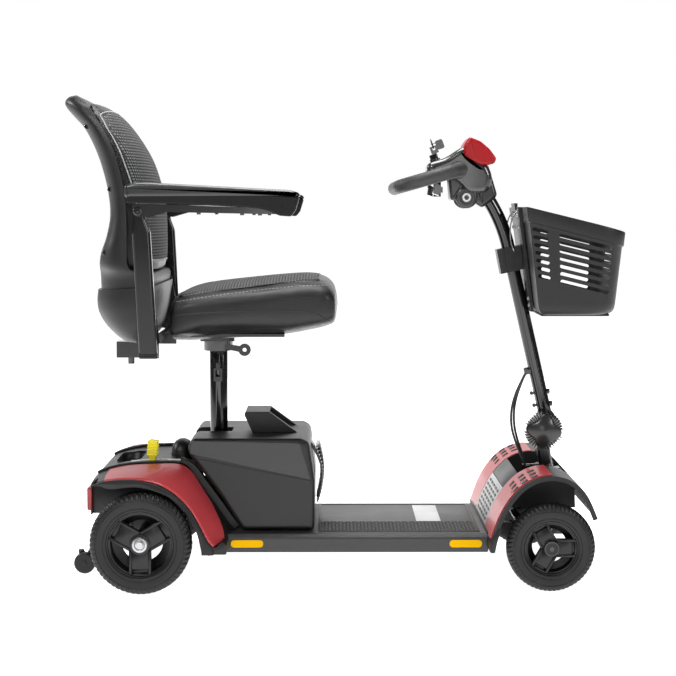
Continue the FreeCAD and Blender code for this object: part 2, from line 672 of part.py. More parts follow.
def tiller_cable():
    wire = rounded_path(CABLE_ROUTE)
    radii = [edge.Curve.Radius for edge in wire.Edges if hasattr(edge.Curve, "Radius")]
    print("cable radii", [round(r, 1) for r in radii], "length", round(wire.Length, 1))
    cable = swept(wire, CABLE_R)
    print("cable volume over section times length",
          round(cable.Volume / (math.pi * CABLE_R ** 2 * wire.Length), 4))
    return cable


# ---------------------------------------------------------------- battery pack

PACK = [(PACK_X0, 268), (88, 289), (98, PACK_Z1), (322, PACK_Z1), (335, 288), (PACK_X1, 210),
        (345, PACK_Z0), (196, PACK_Z0), (152, 178)]
PACK_IN = [(PACK_X0 + 3, 269), (91, 288), (99, PACK_Z1 - 3), (321, PACK_Z1 - 3), (332, 287),
           (PACK_X1 - 3, 210), (342, PACK_Z0 + 3), (198, PACK_Z0 + 3), (155, 179)]
SEAM = [(70, 264), (360, 206.2)]
NOTCH = (170.0, 32.0)


def pack_body():
    outer = prism(PACK, -PACK_Y, PACK_Y)
    edges = [e for e in outer.Edges if e.BoundBox.YLength < 1]
    outer = outer.makeFillet(7, edges)
    outer = outer.cut(box(70, NOTCH[0], -NOTCH[1], NOTCH[1], 90, 310))
    inner = prism(PACK_IN, -PACK_Y + 3, PACK_Y - 3)
    inner = inner.cut(box(70, NOTCH[0] + 3, -NOTCH[1] - 3, NOTCH[1] + 3, 90, 310))
    return outer.cut(inner)


def seam_side(above):
    far = 400 if above else 0
    return prism([SEAM[0], SEAM[1], (SEAM[1][0], far), (SEAM[0][0], far)], -200, 200)


def battery_case():
    case = pack_body().common(seam_side(False))
    vents = [box(345, 350, -52, 52, z, z + 5) for z in range(150, 196, 10)]
    return case.cut(Part.makeCompound(vents))


def battery_lid():
    return pack_body().common(seam_side(True))


def battery_handle():
    outer = prism([(214, PACK_Z1), (197, 334), (199, 341), (249, 341), (309, PACK_Z1)], -55, 55)
    hollow = prism([(222, PACK_Z1 - 1), (206, 333), (244, 333), (292, PACK_Z1 - 1)], -48, 48)
    window = prism([(252, 345), (246, 330), (285, 300), (310, 300)], -40, 40)
    return outer.cut(hollow).cut(window)


def battery_cells():
    return [box(204, 338, s * 70 - 64, s * 70 + 64, PACK_Z0 + 3, 198) for s in (-1, 1)]


# ---------------------------------------------------------------- seat

def seat_post():
    tube = rod((POST_X, 0, 125), Z_AXIS, POST_R, 341.5)
    spigot = rod((POST_X, 0, 466), Z_AXIS, 14, 30)
    pin = rod((POST_X, -31, 436), Y_AXIS, 4, 48)
    link = box(POST_X - 9, POST_X + 9, -27, -20, 402, 430)
    link = link.cut(box(POST_X - 5, POST_X + 5, -30, -18, 412, 426))
    strap = box(POST_X - 4, POST_X + 4, -26, -18, 428, 442)
    return fuse(tube, spigot, pin, link, strap)


def seat_frame():
    """Swivel boss, seat plate, armrest receiver, backrest hinge plates and accessory socket."""
    boss = rod((POST_X, 0, 467), Z_AXIS, 31, 39)
    skirt = box(POST_X - 36, POST_X + 36, -34, 34, 488, 506)
    plate = box(60, 285, -150, 150, 506, SEAT_LOW)
    tie = box(38, 62, -120, 120, 490, SEAT_LOW)
    receiver = box(8, 38, -232, 232, 470, 500)
    ears = []
    for low in (-215, 209):
        ears.append(prism([(-8, 499), (38, 499), (30, 560), (20, 617), (-8, 617)], low, low + 6))
    socket = box(-75, 9, -17, 17, 452, 486)
    screw = rod((-46, 0, 438), Z_AXIS, 7, 15)
    whole = fuse(boss, skirt, plate, tie, receiver, *ears, socket, screw)
    whole = whole.cut(box(11, 35, -240, -110, 473, 497)).cut(box(11, 35, 110, 240, 473, 497))
    whole = whole.cut(box(-80, 5, -14, 14, 455, 483))
    whole = whole.cut(rod((POST_X, 0, 460), Z_AXIS, 14 + RUN, 60))
    return whole.cut(rod((BACK_HINGE.x, -240, BACK_HINGE.z), Y_AXIS, 6 + RUN, 480))


def seat_cushion():
    side = [(46, SEAT_LOW), (50, 545), (64, 588), (92, 604), (150, 610), (220, 620), (300, 632),
            (345, 635), (376, 622), (391, 598), (390, 548), (372, 530), (330, SEAT_LOW)]
    y = SEAT_Y
    across = [(-y, 500), (-y, 596), (-y + 10, 622), (-y + 40, 640), (y - 40, 640), (y - 10, 622),
              (y, 596), (y, 500)]
    plan = [V(30, -y, 0), V(350, -y, 0), V(392, -y + 45, 0), V(392, y - 45, 0), V(350, y, 0),
            V(30, y, 0)]
    column = Part.Face(Part.makePolygon(plan + [plan[0]])).extrude(V(0, 0, 700))
    return prism(side, -y, y).common(prism_x(across, 0, 420)).common(column)


LEVER_PIVOT = V(166, 0, 482)


def swivel_lever():
    arm = prism([(160, 478), (198, 470), (202, 482), (166, 488), (160, 486)], -106, -101)
    ring = rod((201, -106, 476), Y_AXIS, 12.7, 5)
    pin = rod((LEVER_PIVOT.x, -106, LEVER_PIVOT.z), Y_AXIS, 4, 12)
    return fuse(arm, ring, pin).cut(rod((201, -110, 476), Y_AXIS, 4.2, 14))


BACK_REAR = [(-120, 1000), (-152, 998), (-170, 984), (-162, 962), (-138, 946), (-104, 885),
             (-84, 820), (-75, 765), (-83, 712), (-100, 675), (-106, 606), (-108, 561), (-86, 523),
             (-56, 497), (-25, 490)]
BACK_FRONT = [(-93, 976), (-56, 952), (-23, 914), (1, 868), (15, 820), (22, 747), (23, 681), (30, 640)]
BACK_SEAM = [(-110, 968), (-76, 925), (-50, 878), (-34, 820), (-28, 747), (-28, 690), (-22, 640)]


def back_outline(inset):
    """The backrest from the front: broad at the hips, narrower at the shoulders."""
    half = [(203, 488), (203, 640), (196, 760), (184, 880), (168, 950), (140, 990), (110, 1001)]
    half = [(y - inset, z) for y, z in half]
    return half + [(-y, z) for y, z in half[::-1]]


def backrest_shell():
    side = BACK_REAR + [(0, 515), (18, 555), (22, 600), (24, 639.5)] + [(-22, 639.5)]
    side += BACK_SEAM[::-1][1:]
    shell = prism(side, -210, 210).common(prism_x(back_outline(0), -200, 60))
    pins = [rod((BACK_HINGE.x, 195, BACK_HINGE.z), Y_AXIS, 6, 22)]
    pins.append(mirrored(pins[0]))
    return fuse(shell, *pins)


def backrest_cushion():
    side = [(x + 0.3, z) for x, z in BACK_SEAM] + BACK_FRONT[::-1]
    return prism(side, -200, 200).common(prism_x(back_outline(12), -200, 60))


def armrest_post(s):
    low, high = ARM_Y - ARM_T / 2, ARM_Y + ARM_T / 2
    post = prism([(1, 476), (6, 471), (32, 471), (37, 476), (25, 722), (15, 742), (15, 760),
                  (10, 769), (-6, 769), (-8, 760), (-8, 742), (-11, 722)], low, high)
    leg = box(11.2, 34.8, 125, low + 1, 473.2, 496.8)
    post = fuse(post, leg).cut(rod((ARM_PIVOT.x, 220, ARM_PIVOT.z), Y_AXIS, 5 + RUN, 50))
    return post if s > 0 else mirrored(post)


def armrest_arm(s):
    low, high = ARM_Y - ARM_T / 2, ARM_Y + ARM_T / 2
    cheek = [(-9, 776), (-9, 758), (-2, 750), (22, 749), (60, 760), (86, 766), (88, 772)]
    cheeks = [prism(cheek, low - 5, low - 0.4), prism(cheek, high + 0.4, high + 5)]
    bar = prism([(20, 775.5), (20, 760), (262, 755), (262, 760), (238, 767.5)], low - 5, high + 5)
    bar = bar.cut(box(10, 22, low - 0.4, high + 0.4, 740, 790))
    pin = rod((ARM_PIVOT.x, low - 7, ARM_PIVOT.z), Y_AXIS, 5, ARM_T + 14)
    screws = [rod((x, ARM_Y, z), Z_AXIS, 4, 4) for x, z in ((120, 754.5), (205, 753), (240, 752.5))]
    arm = fuse(*cheeks, bar, pin, *screws)
    return arm if s > 0 else mirrored(arm)


def armrest_pad(s):
    side = [(-22, 780), (-24, 806), (-10, 816), (20, 817), (300, 803), (318, 797), (320, 788),
            (304, 751), (288, 751), (262, 761), (238, 769), (100, 776)]
    pad = prism(side, ARM_Y - 27, ARM_Y + 27)
    across = [(ARM_Y - 27, 740), (ARM_Y - 27, 805), (ARM_Y - 20, 820), (ARM_Y + 20, 820),
              (ARM_Y + 27, 805), (ARM_Y + 27, 740)]
    pad = pad.common(prism_x(across, -40, 340))
    return pad if s > 0 else mirrored(pad)


# ---------------------------------------------------------------- every named piece

SIDES = (("right", -1), ("left", 1))


def nodes():
    made = {
        "main_frame": main_frame(), "head_bearings": head_bearings(), "deck_pan": deck_pan(),
        "deck_mat": deck_mat(), "side_reflectors": side_reflectors(),
        "front_shroud": front_shroud(), "front_shroud_panels": front_shroud_panels(),
        "shroud_grille": shroud_grille(), "rear_frame": rear_frame(),
        "transaxle_housing": transaxle_housing(), "drive_motor": drive_motor(),
        "controller": controller(), "rear_shroud": rear_shroud(),
        "rear_shroud_panels": rear_shroud_panels(), "rear_reflectors": rear_reflectors(),
        "antitip_arms": antitip_arms(), "antitip_wheels": antitip_wheels(),
        "freewheel_lever": freewheel_lever(), "tie_rod": tie_rod(),
        "steering_stem": steering_stem(), "tiller_knob": tiller_knob(),
        "tiller_tube": tiller_tube(), "basket_bracket": basket_bracket(), "basket": basket(),
        "handlebar_loop": handlebar_loop(), "console_housing": console_housing(),
        "console_cap": console_cap(), "throttle_lever": throttle_lever(),
        "speed_dial": speed_dial(), "ignition_key": ignition_key(), "key_ring": key_ring(),
        "tiller_cable": tiller_cable(),
        "battery_case": battery_case(), "battery_lid": battery_lid(),
        "battery_handle": battery_handle(), "battery_cells": battery_cells(),
        "seat_post": seat_post(), "seat_frame": seat_frame(), "seat_cushion": seat_cushion(),
        "swivel_lever": swivel_lever(), "backrest_shell": backrest_shell(),
        "backrest_cushion": backrest_cushion(),
    }
    for name, s in SIDES:
        made[f"rear_tyre_{name}"], made[f"rear_rim_{name}"] = rear_wheel(s)
        made[f"rear_axle_{name}"] = rear_axle(s)
        made[f"front_tyre_{name}"], made[f"front_rim_{name}"] = front_wheel(s)
        made[f"steering_knuckle_{name}"] = steering_knuckle(s)
        made[f"armrest_post_{name}"] = armrest_post(s)
        made[f"armrest_arm_{name}"] = armrest_arm(s)
        made[f"armrest_pad_{name}"] = armrest_pad(s)
    return made


def placed(shape):
    solids = shape if isinstance(shape, list) else [shape]
    whole = Part.makeCompound([solid for s in solids for solid in s.Solids])
    whole.translate(V(-X_MID, 0, 0))
    return whole


def export():
    os.makedirs("parts", exist_ok=True)
    whole = []
    for name, shape in nodes().items():
        shape = placed(shape)
        if not shape.Solids or not shape.isValid():
            print("CHECK", name, "solids", len(shape.Solids), "valid", shape.isValid())
        shape.exportStep(f"parts/{name}.step")
        whole.append(shape)
    limits = Part.makeCompound(whole).BoundBox
    print("nodes", len(whole), "x", round(limits.XMin, 2), round(limits.XMax, 2), "y",
          round(limits.YMin, 2), round(limits.YMax, 2), "z", round(limits.ZMin, 2), round(limits.ZMax, 2))


if __name__ == "__main__":
    export()
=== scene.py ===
import math

import bmesh
import bpy
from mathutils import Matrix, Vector
from mathutils.bvhtree import BVHTree


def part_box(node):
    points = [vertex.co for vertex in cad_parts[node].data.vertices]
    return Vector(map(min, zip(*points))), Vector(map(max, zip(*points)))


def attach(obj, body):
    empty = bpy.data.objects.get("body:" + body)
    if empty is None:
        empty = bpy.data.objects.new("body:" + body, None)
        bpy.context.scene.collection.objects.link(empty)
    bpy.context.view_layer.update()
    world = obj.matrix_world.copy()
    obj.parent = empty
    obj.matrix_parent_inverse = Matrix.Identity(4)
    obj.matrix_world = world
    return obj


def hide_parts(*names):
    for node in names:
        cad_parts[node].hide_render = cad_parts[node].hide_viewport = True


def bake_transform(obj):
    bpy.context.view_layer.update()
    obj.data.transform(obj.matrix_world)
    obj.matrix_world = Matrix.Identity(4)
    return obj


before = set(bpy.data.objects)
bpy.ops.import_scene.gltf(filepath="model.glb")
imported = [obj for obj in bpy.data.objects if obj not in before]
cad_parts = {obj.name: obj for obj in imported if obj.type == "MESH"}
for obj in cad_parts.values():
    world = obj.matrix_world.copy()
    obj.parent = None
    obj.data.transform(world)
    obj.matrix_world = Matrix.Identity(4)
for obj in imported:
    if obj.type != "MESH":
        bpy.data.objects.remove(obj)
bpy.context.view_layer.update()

# Places are written in millimetres: x forward from the rear axle, y to the rider's left and
# z up from the ground. at() carries them into the frame, whose own origin is found from the axle.
MM = 0.001
ORIGIN_X = sum(corner.x for corner in map(Vector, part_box("rear_axle_right"))) / 2
RIGHT, LEFT = -1, 1
SIDES = (("right", RIGHT), ("left", LEFT))
TAU = 2 * math.pi


def at(x, y, z):
    """A place in the frame, in metres, from millimetres."""
    return Vector((ORIGIN_X + x * MM, y * MM, z * MM))

# ---------------------------------------------------------------- outlines

def spline(a, b, c, d, t):
    """The place a share t of the way from b to c, on a smooth line through all four."""
    return 0.5 * (2 * b + (c - a) * t + (2 * a - 5 * b + 4 * c - d) * t * t
                  + (3 * b - a - 3 * c + d) * t ** 3)


def catmull(points, per_span=6, closed=True):
    """A smooth line through the points."""
    count = len(points)
    found = []
    for i in range(count if closed else count - 1):
        if closed:
            four = [points[(i + k) % count] for k in (-1, 0, 1, 2)]
        else:
            four = [points[min(max(i + k, 0), count - 1)] for k in (-1, 0, 1, 2)]
        a, b, c, d = (Vector(p) for p in four)
        found += [spline(a, b, c, d, k / per_span) for k in range(per_span)]
    if not closed:
        found.append(Vector(points[-1]))
    return found


def turned_corner(before, corner, after, cut_back, steps):
    """Points round a corner, from cut_back before it to cut_back after it."""
    start = corner + (before - corner).normalized() * cut_back
    end = corner + (after - corner).normalized() * cut_back
    shares = [k / steps for k in range(steps + 1)]
    return [start * (1 - t) ** 2 + corner * 2 * t * (1 - t) + end * t * t for t in shares]


def rounded(points, radius, steps=4):
    """A closed outline whose corners are turned through arcs of about this radius."""
    found = []
    count = len(points)
    for i in range(count):
        a, p, b = (Vector(points[(i + k) % count]) for k in (-1, 0, 1))
        cut_back = min(radius, (a - p).length * 0.45, (b - p).length * 0.45)
        found += turned_corner(a, p, b, cut_back, steps)
    return found


def evened(points, gap):
    """A closed outline with its points a steady gap apart."""
    count = len(points)
    lengths = [(Vector(points[(i + 1) % count]) - Vector(points[i])).length for i in range(count)]
    total = sum(lengths)
    number = max(8, round(total / gap))
    found, i, passed = [], 0, 0.0
    for k in range(number):
        want = total * k / number
        while passed + lengths[i] < want:
            passed += lengths[i]
            i += 1
        share = (want - passed) / max(lengths[i], 1e-9)
        found.append(Vector(points[i]).lerp(Vector(points[(i + 1) % count]), share))
    return found


def area(points):
    """An outline's area, negative when it runs clockwise."""
    count = len(points)
    return sum(points[i][0] * points[(i + 1) % count][1] - points[(i + 1) % count][0] * points[i][1]
               for i in range(count)) / 2


def inset(points, distance):
    """The outline moved in along its own normals."""
    count = len(points)
    sign = 1 if area(points) > 0 else -1
    found = []
    for i in range(count):
        run = Vector(points[(i + 1) % count]) - Vector(points[i - 1])
        run = run.normalized() if run.length > 1e-9 else Vector((1, 0))
        normal = Vector((-run[1], run[0])) * sign
        found.append(Vector(points[i]) + normal * distance)
    return found


def across(points):
    """The unit normal at each point of an open line."""
    found = []
    for i in range(len(points)):
        run = Vector(points[min(i + 1, len(points) - 1)]) - Vector(points[max(i - 1, 0)])
        found.append(Vector((-run[1], run[0])).normalized())
    return found


def beside(line, y):
    """An x-z line's points at this y."""
    return [(x, y, z) for x, z in line]


# ---------------------------------------------------------------- meshes

def new_object(name, data):
    """An object put into the scene."""
    obj = bpy.data.objects.new(name, data)
    bpy.context.collection.objects.link(obj)
    return obj


def shade_smooth(mesh, smooth=True):
    """Every face of the mesh smooth or flat."""
    mesh.polygons.foreach_set("use_smooth", [smooth] * len(mesh.polygons))


def add_mesh(name, verts, faces, smooth=True):
    """A mesh object with its doubled points merged and its faces turned outwards."""
    mesh = bpy.data.meshes.new(name)
    mesh.from_pydata([tuple(v) for v in verts], [], faces)
    mesh.validate()
    work = bmesh.new()
    work.from_mesh(mesh)
    bmesh.ops.remove_doubles(work, verts=work.verts, dist=1e-6)
    bmesh.ops.recalc_face_normals(work, faces=work.faces)
    work.to_mesh(mesh)
    work.free()
    shade_smooth(mesh, smooth)
    return new_object(name, mesh)


def band_faces(count, rings, closed=False):
    """Quads between each ring of count points and the next."""
    faces = []
    for r in range(rings if closed else rings - 1):
        here, after = r * count, (r + 1) % rings * count
        for i in range(count):
            j = (i + 1) % count
            faces.append((here + i, here + j, after + j, after + i))
    return faces


def loft(name, rings, capped=True, fan=True):
    """Quads between rings of equal count, with a fan or one face over each end."""
    count = len(rings[0])
    verts = [p for ring in rings for p in ring]
    faces = band_faces(count, len(rings))
    for start in (0, (len(rings) - 1) * count) if capped else ():
        if fan:
            hub = len(verts)
            verts.append(sum((Vector(verts[start + i]) for i in range(count)), Vector()) / count)
            faces += [(start + i, start + (i + 1) % count, hub) for i in range(count)]
        else:
            faces.append(tuple(range(start, start + count)))
    return add_mesh(name, verts, faces)


def scaled_rings(outline, centre, levels):
    """The outline, given round (0, 0), set round the centre at each (share of its size, height)."""
    return [[at(centre[0] + x * share, centre[1] + y * share, z) for x, y in outline]
            for share, z in levels]


CAP_BAND = 0.8


def pillow(name, outline, y0, y1, radius, steps=4):
    """An x-z outline carried from y0 to y1, its two rims rounded to the radius."""
    low, high = sorted((y0, y1))
    stations = []
    for k in range(steps + 1):
        turn = k / steps * math.pi / 2
        stations.append((radius * (1 - math.sin(turn)), radius * (1 - math.cos(turn))))
    rings = [(low + out, pull) for pull, out in stations]
    rings += [(high - out, pull) for pull, out in stations[::-1]]
    rings.insert(0, (low, radius + CAP_BAND))
    rings.append((high, radius + CAP_BAND))
    made = []
    for y, pull in rings:
        made.append([at(p[0], y, p[1]) for p in inset(outline, pull)])
    return loft(name, made, fan=False)


def lathe(name, profile, centre, steps=96, axis="y", shape=None):
    """A closed (radius, along) profile turned round the axis; shape moves a point's radius."""
    verts = []
    for s in range(steps):
        turn = TAU * s / steps
        for r, a in profile:
            if shape:
                r = shape(r, a, turn)
            c, z = r * math.cos(turn), r * math.sin(turn)
            place = {"y": (c, a, z), "x": (a, c, z), "z": (c, z, a)}[axis]
            verts.append(at(*(Vector(centre) + Vector(place))))
    return add_mesh(name, verts, band_faces(len(profile), steps, True))


def side_lathe(name, profile, centre, side, steps):
    """A lathe piece whose profile runs outwards on this side."""
    return lathe(name, [(r, side * a) for r, a in profile], centre, steps)


def new_curve(name, radius, resolution):
    """A round cord of this radius in millimetres, still without points."""
    curve = bpy.data.curves.new(name, "CURVE")
    curve.dimensions = "3D"
    curve.bevel_depth = radius * MM
    curve.bevel_resolution = resolution
    curve.use_fill_caps = True
    return curve


def tube(name, points, radius, sides=12, closed=False):
    """A round tube along points already in millimetres."""
    curve = new_curve(name, radius, sides // 4)
    line = curve.splines.new("POLY")
    line.points.add(len(points) - 1)
    for point, place in zip(line.points, points):
        point.co = (*at(*place), 1)
    line.use_cyclic_u = closed
    return as_mesh(bpy.data.objects.new(name, curve))


def as_mesh(obj):
    """A plain mesh object with obj's curve or modifiers applied; the first is removed."""
    if obj.name not in bpy.context.collection.objects:
        bpy.context.collection.objects.link(obj)
    bpy.context.view_layer.update()
    depsgraph = bpy.context.evaluated_depsgraph_get()
    mesh = bpy.data.meshes.new_from_object(obj.evaluated_get(depsgraph))
    name = obj.name
    bpy.data.objects.remove(obj)
    shade_smooth(mesh)
    return new_object(name, mesh)


def bevelled(obj, width, segments=3, angle=32):
    """The object with a bevel on each edge sharper than the angle."""
    edge = obj.modifiers.new("edges", "BEVEL")
    edge.width = width * MM
    edge.segments = segments
    edge.limit_method = "ANGLE"
    edge.angle_limit = math.radians(angle)
    edge.harden_normals = True
    return obj


def prism(name, near, far):
    """Flat sides between two outlines of equal count, and a face over each."""
    count = len(near)
    ends = [tuple(range(count)), tuple(range(count, 2 * count))]
    return add_mesh(name, near + far, ends + band_faces(count, 2), False)


def slab(name, outline, y0, y1, bevel=1.5, segments=3):
    """An x-z outline carried from y0 to y1 with every sharp edge bevelled."""
    obj = prism(name, *[[at(p[0], y, p[1]) for p in outline] for y in (y0, y1)])
    return as_mesh(bevelled(obj, bevel, segments, 25)) if bevel else obj


def side_slab(name, outline, side, near, far, bevel=1.5, segments=3):
    """A slab on one side, between two distances from the middle."""
    return slab(name, outline, *sorted((side * near, side * far)), bevel, segments)


def brick(name, x0, x1, y0, y1, z0, z1, bevel=1.0):
    """A box with bevelled edges."""
    return slab(name, [(x0, z0), (x1, z0), (x1, z1), (x0, z1)], y0, y1, bevel)


def joined(name, pieces):
    """One object made of several."""
    work = bmesh.new()
    for piece in pieces:
        piece.data.transform(piece.matrix_world)
        work.from_mesh(piece.data)
        bpy.data.objects.remove(piece)
    mesh = bpy.data.meshes.new(name)
    work.to_mesh(mesh)
    work.free()
    shade_smooth(mesh)
    return new_object(name, mesh)


def cut(obj, cutter):
    """obj without the cutter's space."""
    name = obj.name
    gone = obj.modifiers.new("cut", "BOOLEAN")
    gone.operation = "DIFFERENCE"
    gone.solver = "EXACT"
    gone.use_self = True
    gone.object = cutter
    made = as_mesh(obj)
    bpy.data.objects.remove(cutter)
    made.name = name
    return made


def creased(obj, angle=35):
    """Smooth faces, with edges sharper than the angle kept sharp."""
    shade_smooth(obj.data)
    work = bmesh.new()
    work.from_mesh(obj.data)
    for edge in work.edges:
        edge.smooth = len(edge.link_faces) == 2 and edge.calc_face_angle(0) < math.radians(angle)
    work.to_mesh(obj.data)
    work.free()


def finish(obj, body, look, nodes=(), crease=35):
    """Gives a piece its look, its body and the CAD nodes it stands for."""
    if crease:
        creased(obj, crease)
    obj.data.materials.clear()
    obj.data.materials.append(MATERIALS[look])
    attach(obj, body)
    if nodes:
        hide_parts(*nodes)


# ---------------------------------------------------------------- materials

def wire(tree, source, output, target, socket):
    """Links one node's output to another's input."""
    tree.links.new(source.outputs[output], target.inputs[socket])


def add_node(tree, kind, inputs=(), **settings):
    """A shader node with its settings made before its input values."""
    made = tree.nodes.new("ShaderNode" + kind)
    for key, value in settings.items():
        setattr(made, key, value)
    for key, value in dict(inputs).items():
        made.inputs[key].default_value = value
    return made


def shade(colour, factor, lift=0.0):
    """The colour made darker or lighter, within white, with an alpha."""
    return (*[min(1, c * factor + lift) for c in colour], 1)


def worn_colour(tree, cloud, colour, variation, wear):
    """The colour made uneven by the cloud and lighter along edges."""
    tint = add_node(tree, "Mix", {"A": shade(colour, 1 - variation), "B": shade(colour, 1 + variation)},
                    data_type="RGBA")
    wire(tree, cloud, "Fac", tint, "Factor")
    edges = add_node(tree, "NewGeometry")
    worn = add_node(tree, "MapRange", {"From Min": 0.53, "From Max": 0.62, "To Max": wear})
    wire(tree, edges, "Pointiness", worn, "Value")
    light = add_node(tree, "Mix", {"B": shade(colour, 1.6, 0.05)}, data_type="RGBA")
    wire(tree, worn, "Result", light, "Factor")
    wire(tree, tint, "Result", light, "A")
    return light


def cell_height(tree, place, fine, cells):
    """Leather-like cells with the fine grain over them."""
    cell = add_node(tree, "TexVoronoi", {"Scale": cells}, feature="DISTANCE_TO_EDGE")
    wire(tree, place, "Object", cell, "Vector")
    crease_line = add_node(tree, "MapRange", {"From Max": 0.12})
    wire(tree, cell, "Distance", crease_line, "Value")
    total = add_node(tree, "Math", {1: 0.35}, operation="MULTIPLY_ADD")
    wire(tree, fine, "Fac", total, 0)
    wire(tree, crease_line, "Result", total, 2)
    return total


def woven(tree, place, colour, light, weave):
    """Threads crossing in two directions: the height, and the colour with dark gaps."""
    scale, *directions = weave
    cross = add_node(tree, "Math", operation="MULTIPLY")
    for k, direction in enumerate(directions):
        band = add_node(tree, "TexWave", {"Scale": scale}, bands_direction=direction)
        wire(tree, place, "Object", band, "Vector")
        wire(tree, band, "Fac", cross, k)
    thread = add_node(tree, "Mix", {"A": shade(colour, 0.08)}, data_type="RGBA")
    wire(tree, cross, "Value", thread, "Factor")
    wire(tree, light, "Result", thread, "B")
    return cross, thread


def material(name, colour, rough, metallic=0.0, coat=0.0, specular=0.5, grain=900.0, depth=0.12,
             variation=0.25, wear=0.15, weave=None, cells=None):
    """A finish with fine grain, uneven colour and roughness, and lighter worn edges."""
    if isinstance(colour, float):
        colour = (colour,) * 3
    made = bpy.data.materials.new(name)
    made.use_nodes = True
    tree = made.node_tree
    shader = tree.nodes["Principled BSDF"]
    for key, value in (("Metallic", metallic), ("Coat Weight", coat), ("Coat Roughness", 0.08),
                       ("Specular IOR Level", specular)):
        shader.inputs[key].default_value = value
    place = add_node(tree, "TexCoord")
    cloud = add_node(tree, "TexNoise", {"Scale": 22.0, "Detail": 5.0})
    wire(tree, place, "Object", cloud, "Vector")
    light = worn_colour(tree, cloud, colour, variation, wear)
    fine = add_node(tree, "TexNoise", {"Scale": grain, "Detail": 3.0})
    wire(tree, place, "Object", fine, "Vector")
    height = fine
    if cells:
        height = cell_height(tree, place, fine, cells)
    if weave:
        height, light = woven(tree, place, colour, light, weave)
    wire(tree, light, "Result", shader, "Base Color")
    gloss = add_node(tree, "MapRange", {"To Min": rough * 0.85, "To Max": min(1.0, rough * 1.2)})
    wire(tree, cloud, "Fac", gloss, "Value")
    wire(tree, gloss, "Result", shader, "Roughness")
    bump = add_node(tree, "Bump", {"Strength": depth, "Distance": 0.0006})
    wire(tree, height, "Fac" if height == fine else "Value", bump, "Height")
    wire(tree, bump, "Normal", shader, "Normal")
    return made


LOOKS = {
    "black_paint": dict(colour=0.006, rough=0.24, coat=0.3, grain=350, depth=0.05),
    "black_plastic": dict(colour=0.006, rough=0.4, grain=1400, depth=0.25, specular=0.36),
    "satin_plastic": dict(colour=0.008, rough=0.36, grain=1300, depth=0.25, specular=0.4),
    "dull_plastic": dict(colour=0.005, rough=0.46, grain=1300, depth=0.2, specular=0.22),
    "pack_plastic": dict(colour=0.009, rough=0.38, grain=1300, depth=0.3, specular=0.4),
    # A lighter copy of pack_plastic with more specular: painted light on the battery's upper side panels.
    "pack_panel_painted_light": dict(colour=0.014, rough=0.34, grain=1300, depth=0.3, specular=0.6),
    # A lighter black than the other plastics: painted sheen, standing in for the highlight along the deck's
    # sides and the light on the front slope.
    "deck_plastic_painted_sheen": dict(colour=0.022, rough=0.4, grain=1300, depth=0.2),
    "gloss_black": dict(colour=0.004, rough=0.16, coat=0.4, grain=260, depth=0.03),
    "red_gloss": dict(colour=(0.3, 0.005, 0.008), rough=0.36, coat=0.1, grain=500, depth=0.02,
        variation=0.1, wear=0.0, specular=0.22),
    "red_panel": dict(colour=(0.44, 0.04, 0.048), rough=0.42, metallic=0.1, coat=0.25, grain=1500,
        depth=0.06, variation=0.15),
    "vinyl": dict(colour=0.005, rough=0.33, cells=420, depth=0.35, specular=0.4),
    "back_mesh": dict(colour=(0.2, 0.205, 0.2), rough=0.65, weave=(52, "Y", "Z"), depth=1.0,
        specular=0.25, wear=0.0),
    "seat_mesh": dict(colour=(0.2, 0.205, 0.2), rough=0.65, weave=(52, "X", "Y"), depth=1.0,
        specular=0.25, wear=0.0),
    "shell": dict(colour=(0.009, 0.01, 0.009), rough=0.4, grain=1500, depth=0.3, specular=0.36),
    "piping": dict(colour=(0.34, 0.35, 0.35), rough=0.6, grain=1800, depth=0.3),
    "foam_grip": dict(colour=0.022, rough=0.5, grain=1600, depth=0.5),
    "tyre": dict(colour=0.008, rough=0.46, grain=700, depth=0.35, variation=0.4, specular=0.34),
    "rim": dict(colour=0.005, rough=0.32, grain=1200, depth=0.15, specular=0.36),
    "steel": dict(colour=(0.42, 0.42, 0.43), rough=0.3, metallic=1.0, depth=0.08),
    "cast": dict(colour=(0.06, 0.06, 0.062), rough=0.5, metallic=0.4, grain=800, depth=0.3),
    "mat": dict(colour=(0.045, 0.045, 0.044), rough=0.42, grain=1100, depth=0.3),
    "amber": dict(colour=(0.74, 0.4, 0.0), rough=0.5, cells=520, depth=0.4, specular=0.06, wear=0.0,
        variation=0.08),
    "lamp_red": dict(colour=(0.3, 0.006, 0.01), rough=0.2, coat=0.4, cells=380, depth=0.4),
    "grey_plastic": dict(colour=0.6, rough=0.45, grain=1200, depth=0.1),
    "yellow": dict(colour=(0.9, 0.72, 0.005), rough=0.42, depth=0.15),
    "alu": dict(colour=(0.55, 0.55, 0.56), rough=0.35, metallic=0.9, depth=0.1),
    "silver_shell": dict(colour=0.05, rough=0.2, metallic=0.5, coat=0.6, depth=0.05),
    "cell": dict(colour=(0.03, 0.032, 0.04), rough=0.5),
    "cable": dict(colour=0.012, rough=0.4, grain=1500, depth=0.2),
    "gloss_soft": dict(colour=0.014, rough=0.3, coat=0.25, cells=700),
    "black_plastic_smooth": dict(colour=(0.016, 0.016, 0.017), rough=0.3, depth=0.08,
        coat=0.2),
    "knob_rim": dict(colour=(0.3, 0.3, 0.27), rough=0.4, depth=0.1, wear=0.4),
}
MATERIALS = {name: material(name, **look) for name, look in LOOKS.items()}

